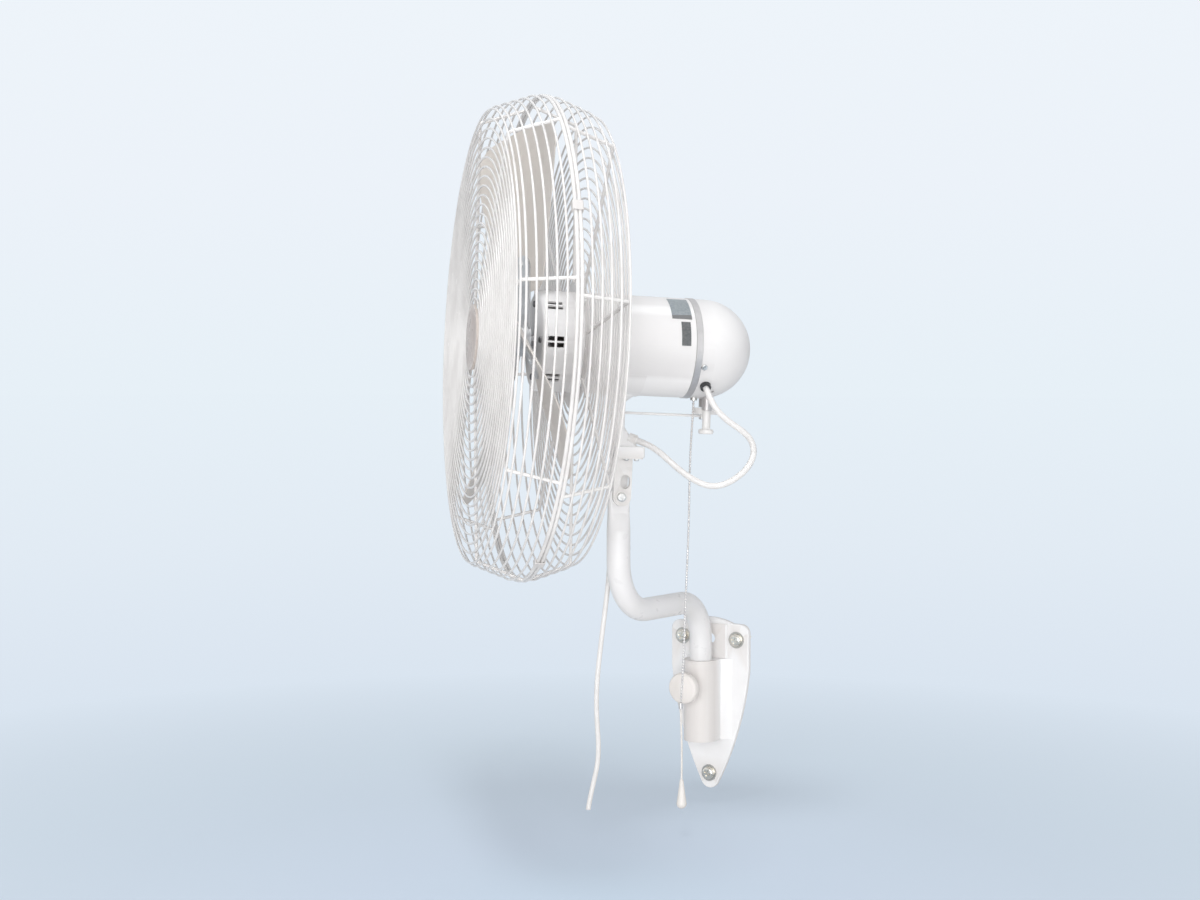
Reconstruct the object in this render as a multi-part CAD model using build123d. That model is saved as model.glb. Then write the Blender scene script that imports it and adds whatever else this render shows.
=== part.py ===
from build123d import *
import os
from math import asin, cos, pi, radians, sin, sqrt, tan

# Millimetres, +Z up. The wall is the plane y = 0 and the fan stands out towards -Y.
# The origin is on the wall, midway between the upper screws and the lower one.
# Pieces of the yoke and the head are drawn in a frame of their own, the head frame:
# its origin is on the tilt bolt, -Y is the way the fan faces and +Z runs up the neck.

# Fits
running = 0.06          # radial clearance of a shaft that turns in its hole
seat = 0.02             # radial clearance of a part pushed into its seat
gap = 0.4               # clearance between faces that pass each other

# Wall plate and socket
plate_thickness = 7.0
plate_half_width = 67.0
plate_side_low = 58.0
plate_side_high = 114.0
plate_top = 128.0
plate_arch_top = 136.0
plate_arch_half_width = 40.0
plate_corner = 13.0
plate_tip_radius = 15.0
plate_tip_height = -112.3
plate_waist = 51.0
plate_waist_height = -25.0
screw_row_height = 104.0
screw_half_spacing = 46.5
wire_hole_radius = 8.0
wire_hole_x = 3.0
screw_hole_room = 0.5    # radial room around a wall screw in its hole
plate_edge = 1.5
plate_tip_angle = 27.0   # where the tip's arc meets the long sides, below level
plate_corner_pull = 0.3
pad_thickness = 3.0
pad_half_width = 31.0
pad_margin = 1.0
pad_overlap = 8.0        # how far the pad runs down behind the socket
pad_edge = 2.0
socket_reach = 34.0
socket_radius = 25.6
socket_low = -47.8
socket_high = 74.7
socket_floor = 6.0
flare_width = 14.0
flare_height = 11.0

# Wall screws
wall_screw_radius = 4.0
wall_screw_neck_radius = 3.5
wall_screw_length = 48.0
wall_screw_point = 6.0
wall_screw_point_radius = 0.5
wall_screw_crown = 4.0
cross_length = 10.0
cross_width = 1.9
cross_depth = 1.7
cross_turn = 20.0
wall_screw_head_radius = 9.5
wall_screw_head_height = 5.5
wall_washer_radius = 12.5
wall_washer_thickness = 1.6

# Clamp knob
clamp_height = 38.0
clamp_stud_radius = 5.0
knob_radius = 23.4
knob_thickness = 11.5
knob_edge = 5.0
knob_back_edge = 1.5
knob_dome = 2.5
knob_standoff = 21.0
knob_collar_radius = 8.5
knob_collar_length = 9.0

# Arm
pipe_radius = 16.7
pipe_wall = 3.4
arm_reach = 267.4
arm_run_height = 165.0
arm_run_rise = 5.0
arm_low_bend = 60.0
arm_high_bend = 75.0
pivot_height = 335.0
tongue_thickness = 15.0
tongue_width = 30.0
tongue_top = 13.0
tongue_low = -23.0
tongue_rounding = 0.3    # share of the tongue's thickness
press_length = 25.0

# Pose of the head in the photograph
head_yaw = -43.65
head_tilt = 2.6

# Clevis and tilt bolt
ear_thickness = 7.3
ear_width = 25.5
ear_centre = 1.5
ear_hole_width = 13.5
ear_hole_height = 19.4
ear_hole_y = 4.8
ear_hole_z = 21.3
base_low = 53.6
base_thickness = 2.4
base_corner = 4.0
base_rear_inset = 2.0
ear_play = 0.2
tilt_bolt_radius = 4.0
tilt_head_radius = 6.5
tilt_head_height = 4.2
tilt_washer_radius = 9.0
tilt_washer_thickness = 1.5
tilt_nut_radius = 7.5
tilt_nut_height = 5.0
clevis_screw_radius = 2.4
clevis_screw_head = 3.5
clevis_screw_head_height = 2.8
clevis_screw_rows = (4.0, 18.7)
clevis_screw_depth = 11.0

# Neck casting
box_half_width = 22.0
box_front = -11.0
box_rear = 30.0
box_height = 15.0
box_corner = 4.0
box_top_edge = 2.0
box_wall = 6.5
box_roof = 5.0
neck_y = -5.0
neck_radius = 9.0
neck_top = 132.0
throat_half_width = 16.0
throat_rear = 22.0
throat_height = 27.0
throat_corner = 6.0
kingpin_radius = 5.0
kingpin_head_radius = 7.5
kingpin_head_height = 3.5
kingpin_depth = 3.0      # how far the pin runs into the motor's wall
thrust_washer_thickness = 1.0
entry_face = (12.9, 18.4, 79.6)
entry_way = (0.38, 0.88, -0.28)
entry_length = 11.0
entry_boss_wall = 1.8
bush_wall = 1.0
bush_lip = 1.5
bush_lip_width = 1.6

# Motor
axis_height = 211.0
motor_radius = 69.5
shell_wall = 3.0
shell_front = -85.0
shell_rear = 83.0
foot_radius = 21.0
foot_low_radius = 9.5
saddle_front = -28.0
saddle_rear = 18.0
saddle_rise = 1.4
saddle_half_angle = 53.0
endbell_front = -130.0
endbell_corner = 8.0
endbell_face = 4.0
slot_length = 22.0
slot_width = 6.0
slot_spacing = 8.6
slot_pairs = 8
slot_turn = 2.0
slot_rear = -102.0
lug_rear = -58.0
lug_width = 14.0
lug_radius = 79.0
lug_end = 7.0            # from the bolt's axis to the lug's round end
lug_corner = 6.0
lug_angles = (45, 135, 225, 315)
band_width = 10.0
band_radius = 70.3
band_plate = 6.0
band_edge = 0.8
dome_lug_depth = 9.0
dome_lug_length = 8.0
dome_lug_half_width = 6.0
dome_screw_radius = 2.0
dome_screw_head = 4.2
dome_screw_head_height = 2.6
dome_screw_inset = 4.0
dome_screw_angles = (-22.6, 202.6)
dome_port_radius = 2.6
dome_port_y = 118.5
dome_port_angle = 60.0
dome_straight = 16.5
dome_wall = 2.5
hub_seat_radius = 22.5
bearing_radius = 17.5
bearing_width = 11.0
bearing_step = 3.0
bearing_groove_inner = 10.5
bearing_groove_outer = 15.0
bearing_groove_depth = 1.0
stator_half_length = 45.0
stator_bore = 38.0
winding_length = 23.0
winding_inner = 42.0
winding_outer = 62.0
winding_edge = 6.0
stator_slots = 12
stator_slot_width = 7.0
stator_tooth_wall = 8.0
rotor_gap = 0.5
shaft_radius = 8.0
shaft_front = -172.0
worm_radius = 6.5
worm_length = 20.0
bolt_circle_radius = 50.0
endbell_bolt_radius = 2.5
endbell_bolt_head = 4.5
endbell_bolt_head_height = 3.0
endbell_bolt_length = 14.0
endbell_bolt_count = 4

# Oscillator
crank_x = -16.0
crank_y = 124.5
crank_radius = 17.5
crank_throw = 12.0
crank_low = 119.4
crank_thickness = 9.2
crank_shaft_radius = 5.0
crank_boss_radius = 9.0
link_height = 117.0
link_wire = 3.8
link_eye_radius = 5.4
link_eye_thickness = 3.2
anchor_x = -18.0
anchor_y = -7.0
anchor_lug_radius = 7.0
anchor_lug_thickness = 6.0
link_screw_radius = 2.5
link_screw_head = 4.6
link_screw_head_height = 3.2
stem_x = 14.0
stem_y = 118.5
stem_radius = 4.5
stem_boss_radius = 7.0
stem_boss_low = 125.0
stem_knob_radius = 5.8
stem_flange_radius = 10.6
stem_flange_low = 92.0
stem_flange_height = 7.0
stem_flange_edge = 2.5
stem_depth = 4.0         # how far the stem runs up into the case
stem_bore_depth = 14.0
case_low = 164.0
case_high = 226.0
case_rear = 139.0
case_left = -30.0
case_right = 26.0
case_wall = 3.0
case_corner = 5.0
gear_thickness = 14.0

# Pull switch and chain
switch_x = 7.0
switch_y = 100.5
switch_radius = 7.3
switch_low = 146.2
switch_height = 14.0
nipple_radius = 4.8
nipple_low = 138.5
nipple_bore = 2.6
chain_diameter = 4.2
string_diameter = 3.0
bell_radius = 2.9
bell_length = 9.0
bell_edge = 0.9
pull_length = 41.0
pull_radius = 7.2
pull_neck_radius = 2.5

# Cords
service_diameter = 8.6
supply_diameter = 7.0
grommet_angle = -47.6
grommet_y = 104.5
grommet_radius = 7.5
grommet_proud = 5.0
grommet_groove = 6.0
grommet_depth = 3.0
gland_flange = 2.0
gland_nose = 4.0
gland_nose_radii = (6.5, 5.0)

# Guard
rim_radius = 332.0
rim_wire = 5.0
rim_y = -140.4
front_edge_radius = 309.0
front_edge_y = -206.9
front_centre_y = -211.5
rear_edge_radius = 310.0
rear_edge_y = -74.1
ring_wire = 3.0
ring_wire_sides = 12    # flat sides of the drawn ring wire, which keep its mesh light
ring_wire_turn = 7.0
rib_wire = 4.5
rib_bend = 6.0
weld = 0.9              # how far a ring sinks into the rib that it is welded to
rib_end = 0.7           # how far a rib's end passes the middle of the rim's wire
ring_pitch = 12.5
rear_ring_pitch = 13.6
rear_ring_first = 18.0
rib_lap = 8.0            # how far a rear rib lies on the plate ring
side_pitch = 12.0
side_first = 6.5
rear_side_pitch = 13.0
rib_count = 8
front_rib_turn = -11.7
rear_rib_turn = -8.0
badge_radius = 45.0
badge_overlap = 6.0
badge_thickness = 1.4
badge_crown = 1.5
badge_rim = 2.0
badge_rim_wall = 2.0
plate_ring_inner = 70.3
plate_ring_outer = 92.0
plate_ring_thickness = 2.0
clip_count = 4
clip_turn = 62.0
clip_width = 13.0
clip_sheet = 1.6
clip_lap = 2.5           # how far a clip reaches past the rims' inner side
clip_corner = 2.0
guard_bolt_radius = 2.6
guard_bolt_head = 5.0
guard_bolt_head_height = 3.2

# Blades
blade_count = 3
blade_turn = 20.0
blade_tip_radius = 300.0
blade_root_radius = 64.0
blade_root_width = 108.0
blade_tip_width = 214.0
blade_corner = 42.0
blade_pitch = 22.0
blade_curve_radius = 330.0
blade_sheet = 1.6
blade_y = -146.0
arm_sheet = 3.0
arm_width = 42.0
arm_tip_radius = 118.0
hub_radius = 23.0
hub_front = -166.0
hub_rear = -138.0
rivet_radius = 2.5
rivet_head = 4.5
rivet_head_height = 2.0
rivet_head_edge = 1.2
hub_edge = 4.0
hub_screw_radius = 3.0
rivet_radii = (84.0, 106.0)

# Routes of the cords, in the head frame, and of the chain, in the frame of the wall
service_route = [
    (48.9, 104.5, 157.5), (61.5, 106.5, 144.2), (67.0, 115.5, 127.0), (68.5, 132.5, 112.0),
    (68.5, 153.0, 100.5), (66.5, 169.5, 87.0), (63.5, 175.0, 67.5), (59.5, 167.5, 48.0),
    (54.5, 153.0, 33.0), (49.5, 134.5, 22.0), (45.5, 115.0, 20.5), (41.0, 95.5, 28.5),
    (36.0, 77.0, 40.5), (30.5, 61.0, 54.5), (24.5, 46.0, 67.0), (18.9, 32.4, 75.2),
    (12.0, 16.4, 80.2),
]
supply_route = [
    (-12.5, 4.8, 21.3), (-26.0, 4.7, 21.3), (-37.7, 4.4, 14.5), (-44.4, 3.9, 2.9),
    (-45.0, 3.2, -17.0), (-41.5, 2.2, -46.0), (-37.6, 1.0, -82.0), (-36.4, 0.0, -125.0),
    (-36.0, -3.2, -164.5), (-36.2, -7.0, -212.0), (-36.0, -9.8, -252.0), (-36.2, -10.4, -290.0),
    (-36.0, -7.6, -325.0), (-36.1, -3.6, -358.0), (-36.0, -4.0, -385.0), (-36.2, -9.0, -412.0),
    (-36.1, -12.6, -431.0), (-36.0, -15.0, -449.0),
]
chain_route = [
    (79.2, -194.5, 484.0), (77.9, -195.8, 446.0), (76.2, -197.6, 412.0), (75.0, -199.2, 364.0),
    (74.4, -199.4, 310.0), (73.2, -200.8, 254.0), (71.0, -201.8, 200.0), (69.6, -203.4, 146.0),
    (68.0, -203.8, 96.0), (66.4, -205.2, 64.0), (65.0, -205.6, 42.0),
]
string_route = [
    (65.0, -205.6, 33.0), (65.6, -205.4, 13.0), (66.4, -204.9, -14.0), (66.5, -204.8, -44.0),
    (66.3, -204.9, -68.0),
]

# Worked out from the sizes above
plate_front = -plate_thickness
pivot = Vector(0, -arm_reach, pivot_height)
head_frame = Pos(pivot) * Rot(0, 0, head_yaw) * Rot(-head_tilt, 0, 0)
arm_end_frame = Pos(pivot) * Rot(0, 0, head_yaw)
motor_frame = Pos(0, 0, axis_height)
bore_radius = pipe_radius + running
shell_inner = motor_radius - shell_wall
band_rear = shell_rear + band_width
dome_centre = band_rear + dome_straight
base_top = base_low + base_thickness
box_top = base_top + box_height
ear_inner = tongue_thickness / 2 + ear_play
ear_outer = ear_inner + ear_thickness
foot_low = neck_top + thrust_washer_thickness
rotor_radius = stator_bore - rotor_gap
ring_offset = (rib_wire + ring_wire) / 2 - weld
rim_offset = (rim_wire + gap) / 2
rim_line = rim_radius - rim_wire / 2
plate_ring_back = rear_edge_y + rib_wire / 2 + gap
case_front = band_rear + seat
crank_gear_radius = abs(crank_x) - worm_radius - gap / 2
dome_screw_y = band_rear + dome_screw_inset
hub_screw_y = (hub_front + blade_y) / 2 - 2
screw_places = [
    (-screw_half_spacing, screw_row_height),
    (screw_half_spacing, screw_row_height),
    (0, -screw_row_height),
]


def along_y(x, y1, y2, z, radius):
    """A round bar along Y from y1 to y2."""
    return Pos(x, (y1 + y2) / 2, z) * Rot(90, 0, 0) * Cylinder(radius, abs(y2 - y1))


def upright(x, y, z1, z2, radius):
    """A round bar along Z from z1 to z2."""
    return Pos(x, y, (z1 + z2) / 2) * Cylinder(radius, abs(z2 - z1))


def along_x(x1, x2, y, z, radius):
    """A round bar along X from x1 to x2."""
    return Pos((x1 + x2) / 2, y, z) * Rot(0, 90, 0) * Cylinder(radius, abs(x2 - x1))


def block(x1, x2, y1, y2, z1, z2):
    """A box between two corners."""
    centre = Pos((x1 + x2) / 2, (y1 + y2) / 2, (z1 + z2) / 2)
    return centre * Box(abs(x2 - x1), abs(y2 - y1), abs(z2 - z1))


def turned(profile):
    """A piece turned about the motor's axis from (radius, y) corners."""
    line = Polyline(*[(r, y, 0) for r, y in profile], close=True)
    return revolve(make_face(line), Axis.Y)


def group(solids):
    """Separate solids that share one node."""
    return Compound(children=[solid for part in solids for solid in part.solids()])


def spun(part, angle):
    """A piece turned about the motor's axis."""
    return Rot(0, angle, 0) * part


# ---------------------------------------------------------------- wall plate

def wall_plate():
    start_angle = radians(plate_tip_angle)
    start_x = plate_tip_radius * cos(start_angle)
    start_z = plate_tip_height - plate_tip_radius * sin(start_angle)
    corner_x = plate_half_width - plate_corner
    bend = plate_corner * (1 - sqrt(0.5))
    right = [
        ThreePointArc((start_x, start_z), (plate_waist, plate_waist_height),
                      (plate_half_width, plate_side_low)),
        Line((plate_half_width, plate_side_low), (plate_half_width, plate_side_high)),
        ThreePointArc((plate_half_width, plate_side_high),
                      (plate_half_width - bend, plate_top - bend - plate_corner_pull), (corner_x, plate_top)),
        Line((corner_x, plate_top), (plate_arch_half_width, plate_top)),
    ]
    left = [mirror(edge, about=Plane.YZ) for edge in right]
    arch = ThreePointArc((plate_arch_half_width, plate_top), (0, plate_arch_top),
                         (-plate_arch_half_width, plate_top))
    tip = ThreePointArc((-start_x, start_z), (0, plate_tip_height - plate_tip_radius),
                        (start_x, start_z))
    outline = make_face(right + left + [arch, tip])
    plate = extrude(Plane.XZ * outline, plate_thickness)
    plate = fillet(plate.edges().filter_by(Plane.XZ).group_by(Axis.Y)[0], plate_edge)
    pad = block(-pad_half_width, pad_half_width, plate_front - pad_thickness, plate_front,
                socket_high - pad_overlap, plate_top - pad_margin)
    pad = fillet(pad.edges().filter_by(Axis.Z).sort_by(Axis.Y)[:2], pad_edge)
    boss_profile = Pos(0, -socket_reach) * Circle(socket_radius)
    boss_profile += Pos(0, -socket_reach / 2) * Rectangle(2 * socket_radius, socket_reach)
    boss = Pos(0, 0, socket_low) * extrude(boss_profile, socket_high - socket_low)
    socket_length = socket_high - socket_low
    socket_middle = Pos(0, (socket_low + socket_high) / 2)
    flare = loft([
        Plane.XZ.offset(plate_thickness) * socket_middle
        * Rectangle(2 * (socket_radius + flare_width), socket_length),
        Plane.XZ.offset(plate_thickness + flare_height) * socket_middle
        * Rectangle(2 * socket_radius, socket_length),
    ])
    body = plate + pad + boss + flare
    body -= upright(0, -socket_reach, socket_low + socket_floor, socket_high + 1, bore_radius)
    clamp_hole = clamp_stud_radius + running
    body -= along_y(0, -socket_reach - socket_radius - 1, -socket_reach, clamp_height, clamp_hole)
    for x, z in screw_places:
        body -= along_y(x, -socket_reach, 1, z, wall_screw_radius + screw_hole_room)
    body -= along_y(wire_hole_x, -socket_reach, 1, screw_row_height, wire_hole_radius)
    return body


def wall_washers():
    washers = []
    for x, z in screw_places:
        ring = along_y(x, plate_front - wall_washer_thickness, plate_front, z, wall_washer_radius)
        ring -= along_y(x, -socket_reach, 0, z, wall_screw_radius + screw_hole_room)
        washers.append(ring)
    return group(washers)


def wall_screws():
    screws = []
    seat_y = plate_front - wall_washer_thickness
    top_y = seat_y - wall_screw_head_height
    for x, z in screw_places:
        head = along_y(x, top_y, seat_y, z, wall_screw_head_radius)
        head = fillet(head.edges().sort_by(Axis.Y)[0], wall_screw_crown)
        for turn in (cross_turn, cross_turn + 90):
            bar = Rot(0, turn, 0) * Box(cross_length, 2 * cross_depth, cross_width)
            head -= Pos(x, top_y, z) * bar
        tip_y = seat_y + wall_screw_length
        point_y = tip_y - wall_screw_point
        neck = along_y(x, seat_y - 1, 0, z, wall_screw_neck_radius)
        thread = along_y(x, 0, point_y, z, wall_screw_radius)
        cone = Cone(wall_screw_point_radius, wall_screw_radius, wall_screw_point)
        cone = Pos(x, (point_y + tip_y) / 2, z) * Rot(90, 0, 0) * cone
        screws.append(head + neck + thread + cone)
    return group(screws)


def clamp_knob():
    front_of_boss = -socket_reach - socket_radius
    back = front_of_boss - knob_standoff
    front = back - knob_thickness
    disc = along_y(0, front, back, clamp_height, knob_radius)
    disc = fillet(disc.edges().sort_by(Axis.Y)[0], knob_edge)
    disc = fillet(disc.edges().sort_by(Axis.Y)[-1], knob_back_edge)
    flat = knob_radius - knob_edge
    dome_radius = (flat ** 2 + knob_dome ** 2) / (2 * knob_dome)
    ball = Pos(0, front + dome_radius - knob_dome, clamp_height) * Sphere(dome_radius)
    cap = ball & along_y(0, front - knob_dome, front + 2, clamp_height, flat)
    collar = along_y(0, back - 1, back + knob_collar_length, clamp_height, knob_collar_radius)
    stud_tip = -socket_reach - pipe_radius - gap
    stud = along_y(0, back - 1, stud_tip, clamp_height, clamp_stud_radius)
    return disc + cap + collar + stud


# ---------------------------------------------------------------- arm

def pipe_path(top):
    corners = [
        (0, -socket_reach, socket_low + socket_floor + gap),
        (0, -socket_reach, arm_run_height),
        (0, -arm_reach, arm_run_height + arm_run_rise),
        (0, -arm_reach, top),
    ]
    return FilletPolyline(*corners, radius=[arm_low_bend, arm_high_bend])


def tongue_section(inset):
    width = tongue_width - 2 * inset
    thickness = tongue_thickness - 2 * inset
    return RectangleRounded(thickness, width, min(thickness, width) * tongue_rounding)


def arm_pipe():
    top = pivot_height + tongue_low - press_length
    path = pipe_path(top)
    start = Plane(origin=path @ 0, z_dir=path % 0)
    tube = sweep(start * Circle(pipe_radius), path=path)
    bore = sweep(start * Circle(pipe_radius - pipe_wall), path=path)
    pressed = loft([
        Pos(0, 0, tongue_low - press_length) * Circle(pipe_radius),
        Pos(0, 0, tongue_low) * tongue_section(0),
    ])
    tongue = Pos(0, 0, tongue_low) * extrude(tongue_section(0), tongue_top - tongue_low)
    crown_radius = tongue_width / 2
    crown = along_x(-tongue_thickness, tongue_thickness, 0, tongue_top - crown_radius, crown_radius)
    skirt = block(-tongue_thickness, tongue_thickness, -crown_radius, crown_radius,
                  tongue_low, tongue_top - crown_radius)
    tongue = tongue & (crown + skirt)
    tongue -= along_x(-tongue_thickness, tongue_thickness, 0, 0, tilt_bolt_radius + running)
    return tube + arm_end_frame * (pressed + tongue) - bore


# ---------------------------------------------------------------- clevis and tilt bolt

def ear(side):
    x1 = side * ear_inner
    x2 = side * ear_outer
    plate = block(x1, x2, ear_centre - ear_width / 2, ear_centre + ear_width / 2, 0, base_low + 1)
    plate += along_x(x1, x2, ear_centre, 0, ear_width / 2)
    hole = SlotCenterToCenter(ear_hole_height - ear_hole_width, ear_hole_width)
    window = extrude(Plane.YZ * Pos(ear_hole_y, ear_hole_z) * Rot(0, 0, 90) * hole, 40, both=True)
    return plate - window


def clevis():
    base = block(-box_half_width, box_half_width, box_front, box_rear - base_rear_inset,
                 base_low, base_top)
    base = fillet(base.edges().filter_by(Axis.Z), base_corner)
    body = base + ear(1) + ear(-1)
    body -= along_x(-ear_outer - 1, ear_outer + 1, 0, 0, tilt_bolt_radius + seat)
    body -= upright(0, ear_hole_y, base_low - 1, base_top + 1, supply_diameter / 2 + 1)
    for x, y in clevis_screw_places():
        body -= upright(x, y, base_low - 1, base_top + 1, clevis_screw_radius + seat)
    return body


def clevis_screw_places():
    x = ear_outer + clevis_screw_head + gap
    return [(side * x, y) for side in (-1, 1) for y in clevis_screw_rows]


def pan_head(radius, height):
    """A round head with a cross slot, both in fixed shares of its size."""
    head = Cylinder(radius, height, align=(Align.CENTER, Align.CENTER, Align.MIN))
    head = fillet(head.edges().sort_by(Axis.Z)[-1], height * 0.6)
    head -= Pos(0, 0, height) * Box(radius * 1.2, radius * 0.24, height * 0.8)
    head -= Pos(0, 0, height) * Box(radius * 0.24, radius * 1.2, height * 0.8)
    return head


def clevis_screws():
    screws = []
    for x, y in clevis_screw_places():
        head = Pos(x, y, base_low) * Rot(180, 0, 0) * pan_head(
            clevis_screw_head, clevis_screw_head_height)
        screws.append(head + upright(x, y, base_low - 0.5, base_low + clevis_screw_depth,
                                     clevis_screw_radius))
    return group(screws)


def tilt_bolt():
    seat_x = ear_outer + tilt_washer_thickness
    head = Pos(seat_x, 0, 0) * Rot(0, 90, 0) * pan_head(tilt_head_radius, tilt_head_height)
    end = -seat_x - tilt_nut_height - 1
    return head + along_x(end, seat_x + 0.5, 0, 0, tilt_bolt_radius)


def tilt_nut():
    x = -ear_outer - tilt_washer_thickness
    nut = Pos(x, 0, 0) * Rot(0, -90, 0) * extrude(RegularPolygon(tilt_nut_radius, 6), tilt_nut_height)
    return nut - along_x(-60, 0, 0, 0, tilt_bolt_radius + seat)


def tilt_washers():
    washers = []
    for side in (-1, 1):
        x1 = side * ear_outer
        x2 = side * (ear_outer + tilt_washer_thickness)
        ring = along_x(x1, x2, 0, 0, tilt_washer_radius)
        washers.append(ring - along_x(-40, 40, 0, 0, tilt_bolt_radius + seat))
    return group(washers)


# ---------------------------------------------------------------- neck

def neck_casting():
    box = block(-box_half_width, box_half_width, box_front, box_rear, base_top, box_top)
    box = fillet(box.edges().filter_by(Axis.Z), box_corner)
    box = fillet(box.edges().group_by(Axis.Z)[-1], box_top_edge)
    throat_middle = (box_front + 1 + throat_rear) / 2
    throat_length = throat_rear - box_front - 1
    throat = loft([
        Pos(0, throat_middle, box_top - 1)
        * RectangleRounded(2 * throat_half_width, throat_length, throat_corner),
        Pos(0, neck_y, box_top - 1 + throat_height) * Circle(neck_radius),
    ])
    post = upright(0, neck_y, box_top - 2, neck_top, neck_radius)
    lug_low = link_height - link_wire / 2 - 3 - anchor_lug_thickness
    lug = upright(anchor_x, anchor_y, lug_low, lug_low + anchor_lug_thickness, anchor_lug_radius)
    lug += block(anchor_x, 0, anchor_y - 4, anchor_y + 5, lug_low, lug_low + anchor_lug_thickness)
    entry = along_entry(-entry_length, 0, service_diameter / 2 + bush_wall + entry_boss_wall)
    body = box + throat + post + lug + entry
    body -= block(-box_half_width + box_wall, box_half_width - box_wall, box_front + box_wall,
                  box_rear - box_wall, base_top - 1, box_top - box_roof)
    body -= upright(0, neck_y, base_top, neck_top + 1, kingpin_radius + running)
    head_top = box_top - box_roof
    body -= upright(0, neck_y, base_top, head_top, kingpin_head_radius + 1)
    body -= upright(anchor_x, anchor_y, lug_low - 1, lug_low + 20, link_screw_radius + seat)
    body -= along_entry(2 - entry_length, 5, service_diameter / 2 + bush_wall)
    body -= along_entry(0, 5, service_diameter / 2 + bush_lip_width + seat)
    for x, y in clevis_screw_places():
        body -= upright(x, y, base_top - 1, base_low + clevis_screw_depth + 1,
                        clevis_screw_radius + seat)
    return body


def thrust_washer():
    ring = upright(0, neck_y, neck_top, foot_low, neck_radius)
    return ring - upright(0, neck_y, neck_top - 1, foot_low + 1, kingpin_radius + running)


def kingpin():
    head_top = box_top - box_roof - gap
    pin = upright(0, neck_y, head_top - 1, axis_height - motor_radius + kingpin_depth, kingpin_radius)
    return pin + upright(0, neck_y, head_top - kingpin_head_height, head_top, kingpin_head_radius)


def along_entry(start, end, radius):
    """A round bar on the line that the service cord follows into the neck."""
    place = Plane(origin=entry_face, z_dir=entry_way)
    return place * Pos(0, 0, (start + end) / 2) * Cylinder(radius, end - start)


def entry_bush():
    bush = along_entry(3 - entry_length, 1, service_diameter / 2 + bush_wall - seat)
    bush += along_entry(0, bush_lip, service_diameter / 2 + bush_lip_width)
    return bush - along_entry(-2.5, 5, service_diameter / 2 + running)


def link_anchor_screw():
    collar_low = link_height - link_wire / 2 - 3
    screw = upright(anchor_x, anchor_y, collar_low - anchor_lug_thickness,
                    link_height + link_wire / 2 + 0.8, link_screw_radius)
    screw += upright(anchor_x, anchor_y, collar_low, link_height - link_wire / 2 - 0.3,
                     link_screw_head)
    head = Pos(anchor_x, anchor_y, link_height + link_wire / 2 + 0.3)
    return screw + head * pan_head(link_screw_head, link_screw_head_height)


# ---------------------------------------------------------------- motor

def motor_housing():
    shell = turned([
        (shell_inner, shell_front), (motor_radius, shell_front),
        (motor_radius, shell_rear), (shell_inner, shell_rear),
    ])
    for angle in lug_angles:
        lug = block(shell_inner + 1, lug_radius + lug_end, plate_ring_back, lug_rear,
                    -lug_width / 2, lug_width / 2)
        lug = fillet(lug.edges().filter_by(Axis.Y).sort_by(Axis.X)[-2:], lug_corner)
        lug -= along_y(lug_radius, plate_ring_back - 1, lug_rear - 2, 0, guard_bolt_radius + seat)
        shell += spun(lug, angle)
    saddle = along_y(0, saddle_front, saddle_rear, 0, motor_radius + saddle_rise)
    saddle -= along_y(0, shell_front, shell_rear, 0, shell_inner + 1)
    saddle_top = -motor_radius * cos(radians(saddle_half_angle))
    saddle -= block(-lug_radius, lug_radius, shell_front, shell_rear, saddle_top, lug_radius)
    bottom = axis_height - motor_radius
    foot_high = bottom + 1 + foot_radius ** 2 / (2 * motor_radius)
    foot = loft([
        Pos(0, neck_y, foot_low) * Circle(foot_low_radius),
        Pos(0, neck_y, bottom) * Circle(foot_radius),
    ])
    foot += upright(0, neck_y, bottom, foot_high, foot_radius)
    foot -= motor_frame * along_y(0, shell_front, shell_rear, 0, shell_inner)
    body = motor_frame * (shell + saddle) + foot
    return body - upright(0, neck_y, foot_low - 1, bottom + 2 * kingpin_depth, kingpin_radius + seat)


def front_endbell():
    front = endbell_front
    rear = shell_front
    outer = turned([(0, front), (motor_radius, front), (motor_radius, rear), (0, rear)])
    outer = fillet(outer.edges().filter_by(GeomType.CIRCLE).sort_by(Axis.Y)[0], endbell_corner)
    inner = turned([(0, front + endbell_face), (shell_inner, front + endbell_face),
                    (shell_inner, rear + 1), (0, rear + 1)])
    inner = fillet(inner.edges().filter_by(GeomType.CIRCLE).sort_by(Axis.Y)[0], endbell_corner - 2)
    bell = outer - inner
    seat_rear = front + endbell_face + bearing_step + bearing_width
    bell += along_y(0, front + endbell_face - 1, seat_rear, 0, hub_seat_radius)
    bell -= along_y(0, seat_rear - bearing_width, seat_rear + 1, 0, bearing_radius + seat)
    bell -= along_y(0, front - 1, seat_rear, 0, shaft_radius + 1)
    for pair in range(slot_pairs):
        angle = slot_turn + pair * 360 / slot_pairs
        for side in (-1, 1):
            slot = block(shell_inner - 4, motor_radius + 4, slot_rear - slot_length, slot_rear,
                         -slot_width / 2, slot_width / 2)
            bell -= spun(Pos(0, 0, side * slot_spacing / 2) * slot, angle)
    for index in range(endbell_bolt_count):
        hole = along_y(bolt_circle_radius, front - 1, front + endbell_face + 1, 0,
                       endbell_bolt_radius + seat)
        bell -= spun(hole, index * 360 / endbell_bolt_count)
    return motor_frame * bell


def endbell_bolts():
    bolts = []
    head = pan_head(endbell_bolt_head, endbell_bolt_head_height)
    head = Pos(bolt_circle_radius, endbell_front, 0) * Rot(90, 0, 0) * head
    shank = along_y(bolt_circle_radius, endbell_front - 0.5, endbell_front + endbell_bolt_length, 0,
                    endbell_bolt_radius)
    for index in range(endbell_bolt_count):
        bolts.append(motor_frame * spun(head + shank, index * 360 / endbell_bolt_count))
    return group(bolts)


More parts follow.
